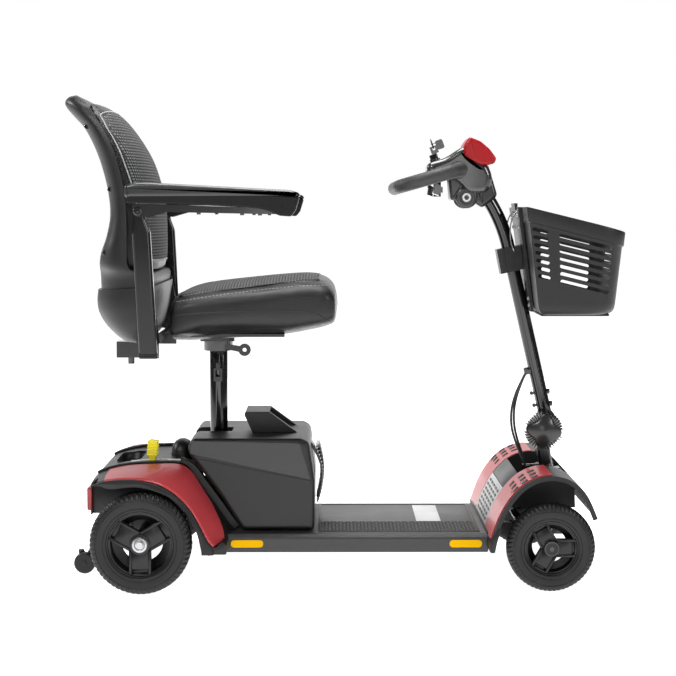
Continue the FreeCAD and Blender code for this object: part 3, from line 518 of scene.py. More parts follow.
NODE_LOOKS = {
    "black_paint": "main_frame rear_frame antitip_arms steering_stem tie_rod seat_frame swivel_lever "
                   "armrest_arm_right armrest_arm_left",
    "steel": "head_bearings rear_axle_right rear_axle_left",
    # The deck pan gets the lighter black: painted sheen.
    "deck_plastic_painted_sheen": "deck_pan",
    "amber": "side_reflectors",
    "black_plastic": "front_shroud controller antitip_wheels basket_bracket battery_handle",
    "cast": "transaxle_housing drive_motor",
    "yellow": "freewheel_lever",
    "gloss_black": "tiller_tube throttle_lever speed_dial ignition_key key_ring seat_post",
    "foam_grip": "handlebar_loop",
    "cell": "battery_cells",
    "red_panel": "front_shroud_panels",
    "rim": "steering_knuckle_right steering_knuckle_left",
}

BEVELS = {
    "front_shroud": 1.2,
    "battery_handle": 2.5, "deck_pan": 2.5, "seat_frame": 1.2, "basket_bracket": 1.5,
    "tiller_tube": 1.0, "steering_stem": 1.2, "throttle_lever": 2.0, "main_frame": 1.5,
    "freewheel_lever": 1.5, "armrest_arm_right": 0.8, "armrest_arm_left": 0.8,
    "antitip_arms": 1.5, "seat_post": 1.0, "swivel_lever": 1.0,
    "rear_axle_right": 0.8, "rear_axle_left": 0.8, "steering_knuckle_right": 1.2,
    "steering_knuckle_left": 1.2, "antitip_wheels": 1.5, "speed_dial": 0.7,
}


def finish_cad_nodes():
    """Looks and softened edges for the CAD nodes that stay in sight."""
    for look, names in NODE_LOOKS.items():
        for name in names.split():
            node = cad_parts[name]
            if not node.material_slots:
                node.data.materials.append(MATERIALS[look])
            for place in node.material_slots:
                place.material = MATERIALS[look]
            if name in BEVELS:
                weld = node.modifiers.new("weld", "WELD")
                weld.merge_threshold = 1e-5
                bevelled(node, BEVELS[name], 2, 30)


# ---------------------------------------------------------------- wheels

REAR = dict(radius=101.6, half=30.0, rim=68.0, hub=22.0, y=240.0, x=0.0, z=101.6)
FRONT = dict(radius=88.9, half=24.0, rim=56.0, hub=17.0, y=224.0, x=820.0, z=88.9)
LUGS = 58


def tyre(name, wheel, side, body):
    """A solid tyre with a grooved tread and deeper lugs on its shoulders."""
    r, h, rim = wheel["radius"], wheel["half"], wheel["rim"]
    half_profile = [(rim - 0.5, h - 9), (rim - 0.5, h - 4), (rim + 2.5, h - 2.5), (rim + 5, h - 2.8),
                    (rim + 6.5, h - 1.2), (rim + 12, h - 0.3), (r - 15, h - 0.4), (r - 13.5, h - 1.4),
                    (r - 12.2, h - 0.6), (r - 8, h - 1.8), (r - 4.5, h - 4.5), (r - 2, h - 8.5),
                    (r - 0.6, h - 13), (r, h - 18), (r, 3)]
    profile = half_profile + [(p[0], -p[1]) for p in half_profile[::-1]]

    def tread(radius, along, turn):
        if radius < r - 9.5:
            return radius
        lean = 0.9 * abs(along) / h
        phase = (LUGS * turn / TAU + lean + (0.5 if along > 0 else 0.0)) % 1.0
        shoulder = abs(along) > 0.38 * h
        groove = phase < 0.36 if shoulder else 0.18 < phase < 0.4
        deep = 2.8 if shoulder else 2.0
        return radius - (deep if groove else 0.0)

    centre = (wheel["x"], side * wheel["y"], wheel["z"])
    obj = lathe(name, profile, centre, LUGS * 8, "y", tread)
    finish(obj, body, "tyre", [name], 28)


def spoke_parts(name, wheel, side, turn):
    """One broad spoke with raised rims along both edges and an open notch at its outer end."""
    hub, rim, h = wheel["hub"], wheel["rim"], wheel["half"] - 6
    wide, notch = rim * 0.31, rim * 0.74
    outlines = [
        ([(-wide, hub * 0.55), (wide, hub * 0.55), (wide, notch), (-wide, notch)], h - 12, h - 2.5),
        ([(-wide, notch - 2), (wide, notch - 2), (wide, rim - 5), (-wide, rim - 5)], h - 14, h - 8),
    ]
    for s in (-1, 1):
        low, high = sorted((s * (wide - 4.5), s * (wide + 1)))
        outlines.append(([(low, hub * 0.55), (high, hub * 0.55), (high, rim - 4.5), (low, rim - 4.5)],
                         h - 15, h - 0.8))
    bar = [(-wide, rim - 9.5), (wide, rim - 9.5), (wide, rim - 4.5), (-wide, rim - 4.5)]
    outlines.append((bar, h - 14, h - 1.5))
    parts = []
    c, s_ = math.cos(turn), math.sin(turn)
    for k, (outline, low, high) in enumerate(outlines):
        points = [(wheel["x"] + c * r - s_ * t, wheel["z"] + s_ * r + c * t) for t, r in outline]
        y0, y1 = side * (wheel["y"] + low), side * (wheel["y"] + high)
        parts.append(slab(f"{name}_{k}", points, y0, y1, 1.3, 3))
    return parts


def rim(name, wheel, side, body, first):
    """A three-spoke rim with a rolled outer edge; first is the turn of its first spoke."""
    hub, r, h = wheel["hub"], wheel["rim"], wheel["half"] - 6
    centre = (wheel["x"], side * wheel["y"], wheel["z"])
    lip = r * 0.62
    barrel = [(lip, -h + 2), (lip + 1, -h - 0.6), (r - 7, -h - 1), (r - 1.5, -h - 1), (r - 0.6, -h + 1),
              (r - 0.6, h + 0.5), (r - 2, h + 1.6), (r - 4, h + 1), (r - 5, h - 1.5), (r - 8, h - 2.5),
              (r - 8.5, h - 6), (r - 7, h - 16), (r - 7, -h + 6)]
    boss = [(8.6, -h), (hub, -h), (hub, h - 4), (hub - 1.5, h - 1.6), (hub - 4, h - 0.6), (8.6, h - 0.6)]
    parts = [side_lathe(f"{name}_barrel", barrel, centre, side, 96),
             side_lathe(f"{name}_boss", boss, centre, side, 64)]
    for k in range(3):
        parts += spoke_parts(f"{name}_s{k}", wheel, side, math.radians(first + 120 * k))
    finish(joined(name + "_visual", parts), body, "rim", [name], 32)


WASHER = [(8.5, 0), (14.6, 0), (15.2, 1.2), (14.4, 2.4), (11, 3.0), (8.8, 1.4)]
HUB_RINGS = ([(12.6, -0.4), (12.9, 0.9), (14.4, 0.9), (14.7, -0.4)],
             [(0.4, -0.4), (0.4, 1.6), (4.4, 1.6), (5.0, 0.8), (5.0, -0.4)])


def wheels():
    """Tyres and rims, a washer on each rear hub and a ring with a centre on each front one."""
    for side_name, side in SIDES:
        for end, wheel, first in (("rear", REAR, 30), ("front", FRONT, 0)):
            body = f"{end}_wheel_{side_name}"
            tyre(f"{end}_tyre_{side_name}", wheel, side, body)
            rim(f"{end}_rim_{side_name}", wheel, side, body, first)
        face = (REAR["x"], side * (REAR["y"] + REAR["half"] - 3.4), REAR["z"])
        washer = side_lathe(f"hub_washer_{side_name}", WASHER, face, side, 48)
        finish(washer, f"rear_wheel_{side_name}", "steel")
        face = (FRONT["x"], side * (FRONT["y"] + FRONT["half"] - 0.7), FRONT["z"])
        parts = [side_lathe(f"hub_ring_{side_name}", ring, face, side, 48) for ring in HUB_RINGS]
        finish(joined(f"front_hub_ring_{side_name}", parts), f"knuckle_{side_name}", "cast", crease=40)


# ---------------------------------------------------------------- soft goods

PUFF_VOXEL, PUFF_PRESSURE, PUFF_FRAMES = 5.0, 2.0, 20


def puff(obj, cap):
    """Remeshes and inflates a closed form, no point moving more than cap, then smooths it."""
    remesh = obj.modifiers.new("remesh", "REMESH")
    remesh.mode = "VOXEL"
    remesh.voxel_size = PUFF_VOXEL * MM
    obj = as_mesh(obj)
    inflate(obj, cap)
    soft = obj.modifiers.new("soft", "SMOOTH")
    soft.factor = 0.5
    soft.iterations = 14
    finer = obj.modifiers.new("finer", "SUBSURF")
    finer.levels = 1
    finer.render_levels = 1
    return as_mesh(obj)


def inflate(obj, cap):
    """Cloth under pressure for a fixed number of frames; each point's move is kept within cap."""
    before = [v.co.copy() for v in obj.data.vertices]
    cloth = obj.modifiers.new("cloth", "CLOTH")
    for key, value in dict(use_pressure=True, uniform_pressure_force=PUFF_PRESSURE, quality=4,
                           tension_stiffness=40, compression_stiffness=40, shear_stiffness=20,
                           bending_stiffness=20).items():
        setattr(cloth.settings, key, value)
    cloth.settings.effector_weights.gravity = 0
    cloth.point_cache.frame_start = 1
    cloth.point_cache.frame_end = PUFF_FRAMES
    for frame_number in range(1, PUFF_FRAMES + 1):
        bpy.context.scene.frame_set(frame_number)
    puffed = obj.evaluated_get(bpy.context.evaluated_depsgraph_get()).data
    places = [v.co.copy() for v in puffed.vertices]
    obj.modifiers.remove(cloth)
    for vertex, start, end in zip(obj.data.vertices, before, places):
        move = end - start
        if move.length > cap * MM:
            move = move.normalized() * cap * MM
        vertex.co = start + move
    bpy.context.scene.frame_set(1)


def surface_tree(obj):
    """The object's surface, for finding places on it."""
    return BVHTree.FromPolygons([v.co for v in obj.data.vertices],
                                [tuple(p.vertices) for p in obj.data.polygons])


def laid(tree, points, aim, lift=0.4):
    """Points dropped along aim onto a surface and lifted clear of it, in millimetres."""
    found = []
    for point in points:
        start = at(*point) - Vector(aim) * 0.2
        hit, normal, _, _ = tree.ray_cast(start, Vector(aim))
        if hit is None:
            hit, normal, _, _ = tree.find_nearest(at(*point))
        hit = hit + normal * lift * MM
        found.append(((hit.x - ORIGIN_X) / MM, hit.y / MM, hit.z / MM))
    return found


def resampled(points, gap):
    """An open line's points a steady gap apart."""
    points = [Vector(p) for p in points]
    found, need = [points[0]], gap
    for a, b in zip(points, points[1:]):
        length = (b - a).length
        while length >= need:
            a = a + (b - a).normalized() * need
            length = (b - a).length
            found.append(a)
            need = gap
        need -= length
    return found


STITCH_GAP, STITCH_LENGTH, STITCH_RADIUS = 7.6, 4.2, 0.65


def stitches(name, tree, line, aim, body):
    """Short raised threads along a line on a surface."""
    points = resampled(catmull(line, 8, False), STITCH_GAP)
    parts = []
    for k, (start, after) in enumerate(zip(points, points[1:])):
        end = start + (after - start) * (STITCH_LENGTH / STITCH_GAP)
        bent = laid(tree, [start, (start + end) / 2, end], aim, 0.25)
        parts.append(tube(f"{name}_{k}", bent, STITCH_RADIUS, 4))
    finish(joined(name, parts), body, "piping", crease=60)


def piping(name, tree, line, aim, body, radius, look, lift=0.0, closed=False):
    """A thin cord laid on a surface along a smooth line."""
    placed = laid(tree, catmull(line, 8, closed), aim, lift)
    line = catmull(placed[::3] + ([] if closed else [placed[-1]]), 4, closed)
    finish(tube(name, line, radius, 8, closed), body, look, crease=60)


def cushion(name, form, cap, body, node):
    """Puffs a closed form up into a cushion and gives back its surface."""
    obj = puff(form, cap)
    obj.name = name
    tree = surface_tree(obj)
    finish(obj, body, "vinyl", [node], None)
    return tree


def super_point(turn, power):
    """A point of the unit superellipse at this turn."""
    c, s = math.cos(turn), math.sin(turn)
    return (math.copysign(abs(c) ** (2 / power), c), math.copysign(abs(s) ** (2 / power), s))


CUSHION_TOP = [(58, 588), (92, 599), (131, 606), (180, 612), (228, 617), (292, 624), (338, 627),
               (370, 620), (388, 602)]
CUSHION_LOW = [(54, 497), (92, 502), (131, 506), (180, 509), (228, 511), (292, 513), (334, 520),
               (366, 526), (389, 534)]
SEAT_HALF, SEAT_POWER, SEAT_CROWN = 198.0, 4.2, 3.0
STITCH_LOW = [(66, 579), (139, 591), (228, 602), (316, 611), (376, 612)]
STITCH_HIGH = [(66, 587), (139, 600), (228, 611), (316, 619), (370, 620)]
SIDE_SEAM = [(60, 550), (94, 556), (183, 560), (272, 561), (330, 560), (362, 550), (380, 536)]
REAR_SEAM = [(60, 592), (56, 570), (54, 548)]
SEAT_PANEL = [(84, -158, 700), (330, -150, 700), (352, -120, 700), (356, 0, 700), (352, 120, 700),
              (330, 150, 700), (84, 158, 700), (78, 0, 700)]


def seat_form():
    """Rings from the seat's back to its front, each a soft-shouldered section."""
    rings = []
    top, low = catmull(CUSHION_TOP, 4, False), catmull(CUSHION_LOW, 4, False)
    for k, (high_point, low_point) in enumerate(zip(top, low)):
        x, middle = [(a + b) / 2 for a, b in zip(high_point, low_point)]
        tall = (high_point[1] - low_point[1]) / 2
        share = k / (len(top) - 1)
        taper = 1 - 0.08 * max(0, (share - 0.8) / 0.2) ** 2 - 0.03 * max(0, (0.12 - share) / 0.12)
        ring = []
        for i in range(64):
            c, s = super_point(TAU * i / 64, SEAT_POWER)
            crown = SEAT_CROWN * (1 - min(1, abs(c)) ** 2) if s > 0 else 0
            lean_x = high_point[0] if s > 0 else low_point[0]
            ring.append(at(x + (lean_x - x) * abs(s), c * SEAT_HALF * taper, middle + s * tall + crown - 2))
        rings.append(ring)
    return loft("seat_cushion_soft", rings)


def seat_cushion():
    """The puffed cushion, its stitches and seams, and the woven panel on top."""
    tree = cushion("seat_cushion_soft", seat_form(), 7.0, "seat", "seat_cushion")
    for side_name, side in SIDES:
        aim, y = (0, -side, 0), side * 230
        stitches(f"seat_stitch_low_{side_name}", tree, beside(STITCH_LOW, y), aim, "seat")
        stitches(f"seat_stitch_high_{side_name}", tree, beside(STITCH_HIGH, y), aim, "seat")
        piping(f"seat_seam_{side_name}", tree, beside(SIDE_SEAM, y), aim, "seat", 1.3, "vinyl", -0.3)
        piping(f"seat_rear_seam_{side_name}", tree, beside(REAR_SEAM, y), aim, "seat", 1.2, "vinyl", -0.2)
    down = (0, 0, -1)
    insert_panel("seat_mesh_panel", tree, SEAT_PANEL, down, "seat", "seat_mesh")
    piping("seat_panel_piping", tree, SEAT_PANEL, down, "seat", 1.5, "vinyl", 0.4, True)


PANEL_RINGS = 26


def insert_panel(name, tree, outline, aim, body, look):
    """A woven panel laid over a cushion inside the outline, with a thin closed body."""
    edge = catmull(outline, 6, True)
    middle = sum(edge, Vector()) / len(edge)
    levels = [(k / PANEL_RINGS, 1.3) for k in range(1, PANEL_RINGS)]
    levels += [(1, -0.8), (0.98, -1.5), (0.04, -1.5)]
    rings = []
    for share, lift in levels:
        ring = [middle.lerp(p, share) for p in edge]
        rings.append([at(*p) for p in laid(tree, ring, aim, lift)])
    obj = loft(name, rings)
    finish(obj, body, look, crease=None)


# Backrest: rear line, front line and half width, from the bottom up
COVER_RINGS = [((-34, 492), (-8, 492), 120), ((-56, 497), (0, 500), 168), ((-86, 523), (10, 528), 196),
               ((-104, 550), (17, 560), 204), ((-109, 575), (20, 586), 206.5),
               ((-107, 600), (23, 610), 207)]
SHELL_RINGS = [((-100, 598), (16, 606), 200), ((-101, 630), (16, 634), 202),
               ((-101, 652), (-24, 646), 202), ((-97, 676), (-28, 690), 201),
               ((-85, 708), (-28, 720), 199), ((-76, 752), (-29, 758), 196),
               ((-80, 800), (-33, 800), 192.5), ((-92, 850), (-43, 846), 188),
               ((-108, 893), (-56, 886), 183), ((-128, 930), (-74, 922), 175),
               ((-148, 952), (-92, 948), 166), ((-166, 972), (-104, 966), 155),
               ((-171, 985), (-112, 976), 145), ((-163, 996), (-120, 984), 130),
               ((-146, 1000), (-130, 991), 112)]
CUSHION_RINGS = [((-34, 640), (16, 640), 176), ((-36, 652), (22, 656), 188),
                 ((-38, 690), (24, 690), 191), ((-38, 745), (24, 745), 189),
                 ((-42, 790), (21, 788), 186), ((-48, 826), (12, 824), 182),
                 ((-60, 870), (-1, 863), 177), ((-74, 906), (-20, 898), 169),
                 ((-92, 938), (-44, 932), 157), ((-106, 958), (-64, 954), 143),
                 ((-112, 968), (-80, 966), 134), ((-118, 980), (-98, 978), 124)]
BACK_PANEL = [(0, 660), (150, 664), (170, 690), (173, 760), (170, 850), (162, 905), (150, 940), (122, 960)]
BACK_SCREWS = ((-112, 931), (-65, 805), (-76, 678))
SCREW_HEAD = [(0.4, -2), (4.6, -2), (5.2, 0.6), (4.4, 1.8), (2.4, 1.8), (2.0, 0.6), (0.4, 0.6)]


def back_loft(name, rows, rear_power, front_power, bowed_front=False, per_span=4):
    """Rings from paired rear and front points, bowed out to the rear or to the front."""
    packed = [(*rear, *front, wide) for rear, front, wide in rows]
    smooth_rows = []
    for k in range(len(packed) - 1):
        four = [packed[min(max(k + i, 0), len(packed) - 1)] for i in (-1, 0, 1, 2)]
        for step in range(per_span):
            smooth_rows.append([spline(*values, step / per_span) for values in zip(*four)])
    smooth_rows.append(packed[-1])
    rings = []
    for rx, rz, fx, fz, wide in smooth_rows:
        base, tip = ((rx, rz), (fx, fz)) if bowed_front else ((fx, fz), (rx, rz))
        ring = []
        for i in range(72):
            turn = TAU * i / 72
            backward = math.sin(turn) >= 0
            c, s = super_point(turn, rear_power if backward else front_power)
            share = 0 if backward == bowed_front else abs(s)
            ring.append(at(base[0] + (tip[0] - base[0]) * share, c * wide,
                           base[1] + (tip[1] - base[1]) * share))
        rings.append(ring)
    return loft(name, rings)


def backrest():
    """The lower cover, the shell with its screws, and the cushion with its woven panel."""
    cover = back_loft("back_lower_cover", COVER_RINGS, 2.7, 2.0)
    finish(cover, "backrest", "shell", ["backrest_shell"], 50)
    shell = back_loft("back_shell", SHELL_RINGS, 2.7, 2.0)
    finish(shell, "backrest", "shell", crease=50)
    form = back_loft("back_cushion_soft", CUSHION_RINGS, 2.0, 2.3, True)
    tree = cushion("back_cushion_soft", form, 6.0, "backrest", "backrest_cushion")
    outline = [(200, y, z) for y, z in BACK_PANEL] + [(200, 0, 966)]
    outline += [(200, -y, z) for y, z in BACK_PANEL[:0:-1]]
    aim = (-1, 0, 0)
    insert_panel("back_mesh_panel", tree, outline, aim, "backrest", "back_mesh")
    piping("back_piping", tree, outline, aim, "backrest", 1.5, "piping", 0.7, True)
    shell_tree = surface_tree(shell)
    for side_name, side in SIDES:
        seats = laid(shell_tree, beside(BACK_SCREWS, side * 300), (0, -side, 0), 0.0)
        heads = [side_lathe(f"back_screw_{k}", SCREW_HEAD, seat, side, 24) for k, seat in enumerate(seats)]
        finish(joined(f"back_screws_{side_name}", heads), "backrest", "gloss_black", crease=40)


ARM_Y, PAD_HALF, SKIRT_HALF, POST_HALF = 245.0, 27, 25, 10
PAD = [(-23, 787), (-23, 812), (-8, 816), (20, 816.8), (300, 802), (317, 797), (320, 789)]
SKIRT = [(-20, 788), (-20, 777), (100, 774.5), (214, 769), (240, 766), (262, 760), (279, 752),
         (301, 750.5), (310, 762), (318, 789), (200, 795), (0, 799)]
ARM_BOLT = [(0.5, 0), (8, 0), (8.6, 0.8), (7.6, 2.0), (6.4, 2.2), (6.2, 1.4), (4.6, 1.4), (4.0, 2.6),
            (0.5, 2.8)]
POST = [(1, 477), (6, 471.5), (32, 471.5), (37, 477), (25, 720), (16, 744), (15, 762), (10, 769),
        (-6, 769), (-8, 762), (-9, 744), (-11, 720)]
POST_CAP = [(0, 470.8), (38, 470.8), (36.8, 484), (0.5, 484)]


def armrest(side_name, side):
    """The pad, the skirt under it and the pivot bolt."""
    y, body = side * ARM_Y, f"armrest_{side_name}"
    top = evened(rounded(PAD, 7, 5), 3)
    pad = pillow(f"armrest_pad_top_{side_name}", top, y - PAD_HALF, y + PAD_HALF, 8, 6)
    finish(pad, body, "gloss_soft", [f"armrest_pad_{side_name}"], None)
    low = evened(rounded(SKIRT, 3, 3), 3)
    low = pillow(f"armrest_skirt_{side_name}", low, y - SKIRT_HALF, y + SKIRT_HALF, 2.5, 3)
    finish(low, body, "dull_plastic", crease=50)
    bolt = side_lathe(f"armrest_bolt_{side_name}", ARM_BOLT, (2, side * 260.2, 761), side, 40)
    finish(bolt, body, "gloss_black")


def armrest_post(side_name, side):
    """The upright, its leg in under the seat, and the cap on its foot."""
    y, body = side * ARM_Y, f"arm_post_{side_name}"
    outline = evened(rounded(POST, 4, 3), 2.5)
    post = pillow(f"armrest_post_tube_{side_name}", outline, y - POST_HALF, y + POST_HALF, 5, 5)
    leg = brick(f"post_leg_{side_name}", 11.2, 34.8, side * 125, side * 236, 473.2, 496.8, 3)
    whole = joined(f"armrest_post_visual_{side_name}", [post, leg])
    finish(whole, body, "gloss_black", [f"armrest_post_{side_name}"], 40)
    outline = evened(rounded(POST_CAP, 3, 3), 2.5)
    end_cap = pillow(f"post_end_cap_{side_name}", outline, y - 10.6, y + 10.6, 4, 3)
    finish(end_cap, body, "black_plastic")


# ---------------------------------------------------------------- deck and battery

STUD_X, STUD_Y, PITCH_X, PITCH_Y = 6.6, 5.6, 15.0, 7.4
STUD_LOW, STUD_HIGH, STUD_CROWN = 105.6, 107.8, 0.55
TOE = [(697.5, 79), (706.5, 78), (707, 96), (708, 106), (703, 108), (698, 105)]
FENDER_FOOT = [(697.5, 79), (707.5, 78), (712, 100), (721, 127), (715, 130), (704, 112), (698, 100)]
SILL = [(698, 79), (706, 79), (706, 98), (711, 112), (707, 116), (698, 107)]


def studs():
    """Diamond studs in staggered rows on the mat's right-hand strip."""
    parts = []
    for row in range(13):
        y = -147 + PITCH_Y * row
        for k in range(22):
            x = 362 + PITCH_X * k + (PITCH_X / 2 if row % 2 else 0)
            if x > 678:
                continue
            foot = [(x - STUD_X, y), (x, y - STUD_Y), (x + STUD_X, y), (x, y + STUD_Y)]
            crown = [(x + (a - x) * STUD_CROWN, y + (b - y) * STUD_CROWN) for a, b in foot]
            parts.append(prism(f"stud_{row}_{k}", [at(a, b, STUD_LOW) for a, b in foot],
                               [at(a, b, STUD_HIGH) for a, b in crown]))
    return parts


def deck_mat():
    """Rubber mat with a border of diamond studs on the right and a smooth field beside it."""
    parts = [brick("mat_base", 352.5, 685.5, -153.5, 153.5, 104.8, 106.2, 0.5)] + studs()
    for y in (-52, 148):
        parts.append(brick(f"mat_rib_{y}", 356, 682, y - 1.6, y + 1.6, 105.8, 107.2, 0.4))
    for x in (357, 681):
        parts.append(brick(f"mat_end_{x}", x - 1.6, x + 1.6, -152, 150, 105.8, 107.2, 0.4))
    finish(joined("deck_mat_tread", parts), "chassis", "mat", ["deck_mat"], 30)
    parts = [slab("deck_front_sill", SILL, -176, 176, 1.5)]
    for side in (RIGHT, LEFT):
        parts.append(side_slab(f"fender_toe_{side}", TOE, side, 175, 228))
        parts.append(side_slab(f"fender_foot_{side}", rounded(FENDER_FOOT, 2.5, 3), side, 226, 236.6))
    finish(joined("fender_feet", parts), "chassis", "black_plastic", crease=40)
    label = brick("deck_label", 560, 612, -46, 134, 105.9, 107.0, 0.4)
    finish(label, "chassis", "grey_plastic")


FRONT_ARCH = [(701, 105), (713, 140), (738, 186), (766, 215), (797, 230), (830, 233)]


def arch_strip(name, line, start, end, low, high, y0, y1, bevel):
    """A thin piece between two heights over the arch, from one place along its line to another."""
    chosen = line[start:end + 1]
    normals = across(chosen)
    above = [Vector(p) + n * high for p, n in zip(chosen, normals)]
    below = [Vector(p) + n * low for p, n in zip(chosen, normals)]
    return slab(name, above + below[::-1], y0, y1, bevel, 2)


def front_grille():
    """The light plate on the slope between the fenders, with rows of dark oblong slots."""
    line = [(p[0], p[2]) for p in resampled(beside(catmull(FRONT_ARCH, 8, False), 0), 1.75)]
    plate = arch_strip("front_grille_plate", line, 2, 51, 0.2, 2.0, -99, 99, 0.5)
    finish(plate, "chassis", "grey_plastic", ["shroud_grille"], 40)
    # The slope skin also gets the lighter black: painted sheen for the light on the front slope.
    slope = arch_strip("front_slope_skin", line, 52, 76, 0.2, 1.6, -99, 99, 0.4)
    finish(slope, "chassis", "deck_plastic_painted_sheen", crease=40)
    slots = []
    for row in range(7):
        start = 6 + 6 * row
        for k in range(5):
            y = -86 + 36.0 * k + (row % 2) * 4
            slots.append(arch_strip(f"grille_slot_{row}_{k}", line, start, start + 3, 1.2, 2.7,
                                    y, y + 24, 0.4))
    finish(joined("front_grille_slots", slots), "chassis", "black_plastic", crease=40)


def front_louvres():
    """Three groups of dark slots across each front fender."""
    line = catmull(FRONT_ARCH, 8, False)
    for side_name, side in SIDES:
        parts = []
        for x in (750, 769, 788):
            near = min(range(len(line)), key=lambda i: abs(line[i][0] - x))
            run = (line[near + 1] - line[near - 1]).normalized()
            normal = Vector((-run[1], run[0]))
            outline = [line[near] + run * a + normal * b
                       for a, b in ((-7, 1.2), (7, 1.2), (7, 2.9), (-7, 2.9))]
            for k in range(3):
                y = 138 + 34 * k
                parts.append(side_slab(f"louvre_{x}_{k}", outline, side, y, y + 15, 0.4, 2))
        finish(joined(f"front_louvres_{side_name}", parts), "chassis", "black_plastic", crease=40)


SIDE_PANEL = [(91, 266), (92, 288), (98, 293), (311, 289), (317, 286), (338, 213)]
GUARD = [(339, 274), (352, 252), (361, 226), (363, 205), (361, 182), (353, 150), (349, 150), (356, 182),
         (358, 205), (356, 225), (347, 250), (336, 270)]
GUARD_RIBS = 15


def battery_details():
    """Raised side panels and the ribbed guard in front."""
    for side_name, side in SIDES:
        y = side * 149.4
        panel = evened(rounded(SIDE_PANEL, 3, 3), 2.5)
        obj = pillow(f"battery_side_panel_{side_name}", panel, y, y + side * 2.0, 0.9, 3)
        # The side panels take the lighter copy of the pack's finish: painted light on the battery's upper
        # sides.
        finish(obj, "battery", "pack_panel_painted_light", crease=50)
    ribs = [pillow("battery_guard", evened(catmull(GUARD, 3), 3), -46, 46, 1.2, 2)]
    for k in range(GUARD_RIBS):
        x0, z = 352 + 8 * math.sin(math.pi * k / (GUARD_RIBS - 1)), 158 + 7.6 * k
        ribs.append(brick(f"guard_rib_{k}", x0 - 4, x0 + 5, -42, 42, z, z + 2.6, 0.5))
    finish(joined("battery_guard", ribs), "battery", "gloss_black", crease=40)


BATTERY = [(86, 268), (88, 289), (98, 297), (321, 297), (335, 287), (346, 210), (345, 107.5),
           (196, 107.5), (152, 178)]


def battery_shell():
    """The pack's rounded box with its parting groove and the notch that stands round the post."""
    box = pillow("battery_shell", evened(rounded(BATTERY, 9, 5), 3), -150, 150, 11, 6)
    groove = [(70, 264.9), (370, 205.1), (370, 203.3), (70, 263.1)]
    tools = [brick("notch", 70, 170, -32, 32, 90, 310, 4)]
    tools += [side_slab(f"groove_{side}", groove, side, 148.6, 160, 0) for side in (RIGHT, LEFT)]
    tools.append(brick("groove_front", 344.4, 352, -160, 160, 207.6, 209.2, 0))
    box = cut(box, joined("battery_tools", tools))
    finish(box, "battery", "pack_plastic", ["battery_case", "battery_lid"], 40)


# ---------------------------------------------------------------- rear shroud

REAR_MIDDLE = [(-108, 150), (-108, 206), (-100, 222), (-76, 232), (-38, 240), (11, 243), (66, 243),
               (90, 230), (110, 202), (140, 161), (166, 124), (180, 106), (178, 77)]
REAR_EDGE = [(-104, 150), (-104, 203), (-97, 217), (-72, 226), (-35, 229), (0, 227), (36, 217),
             (70, 196), (98, 167), (117, 134), (131, 105), (142, 92), (144, 77)]
REAR_ARCH = [(-99, 232), (-79, 217), (-59, 210), (-12, 214), (28, 206), (62, 190), (91, 161),
             (110, 126), (119, 92), (121, 77)]
FENDER_INNER, FENDER_OUTER = 128.0, 249.0
PANEL_TOP_Y, PANEL_FOOT_Y = 138.0, 203.0
REAR_FOOT = [(119, 78), (171, 78), (171, 96), (163, 104), (150, 92), (128, 96)]
WELL_WALL = [(-103, 152), (-103, 202), (-96, 214), (-72, 221), (-35, 224), (0, 222), (36, 211), (70, 190),
             (92, 162), (60, 152)]
TAIL_LENS = [(-114, 158), (-114, 205), (-103, 205), (-103, 158)]
COLLAR = [(24.6, 0), (30.5, 0), (30.5, 82), (28.5, 86), (24.6, 86)]
RECESS_X, DOME_X = -46, 62
LEVER_SLOT = (-20, 40, -108, -84, 215, 275, 0)


def rear_row(y, rise=0.0, first=0, last=None):
    """The shroud's line at y: level across the middle, falling away over each wheel."""
    share = min(max((abs(y) - FENDER_INNER) / (FENDER_OUTER - FENDER_INNER), 0), 1)
    share = share ** 1.5
    line = [Vector(a).lerp(Vector(b), share) for a, b in zip(REAR_MIDDLE, REAR_EDGE)]
    line = catmull(line[first:last], 5, False)
    roll = 7.0 * max(0.0, (abs(y) - (FENDER_OUTER - 9)) / 9) ** 2
    return [p + normal * (rise - roll) for p, normal in zip(line, across(line))]


def rear_skin(name, y0, y1, outer, inner, first=0, last=None, steps=40):
    """A closed sheet between two rises of the shroud's form, from y0 to y1."""
    rings = []
    for k in range(steps + 1):
        y = y0 + (y1 - y0) * k / steps
        top = [at(p[0], y, p[1]) for p in rear_row(y, outer, first, last)]
        low = [at(p[0], y, p[1]) for p in rear_row(y, inner, first, last)]
        rings.append(top + low[::-1])
    return closed_sheet(name, rings)


def closed_sheet(name, rings):
    """Rings that each run out along a sheet's top and back along its underside, capped with quads."""
    verts = [p for ring in rings for p in ring]
    count, steps = len(rings[0]), len(rings) - 1
    faces = band_faces(count, steps + 1)
    for start in (0, steps * count):
        for i in range(count // 2 - 1):
            faces.append((start + i, start + i + 1, start + count - 2 - i, start + count - 1 - i))
    return add_mesh(name, verts, faces)


def fender_panel(name, side):
    """The red skin: its inner edge runs level over the top, then out towards the wheel as it falls."""
    first, last, steps = 3, 12, 30
    count = len(rear_row(0, 0, first, last))
    rings = []
    for k in range(steps + 1):
        top, low = [], []
        for i in range(count):
            fall = max(0.0, (i / (count - 1) - 0.55) / 0.45)
            near = PANEL_TOP_Y + (PANEL_FOOT_Y - PANEL_TOP_Y) * fall ** 1.6
            y = side * (near + (FENDER_OUTER - 5 - near) * k / steps)
            for line, rise in ((top, 1.8), (low, 0.2)):
                x, z = rear_row(y, rise, first, last)[i]
                line.append(at(x, y, z))
        rings.append(top + low[::-1])
    return closed_sheet(name, rings)


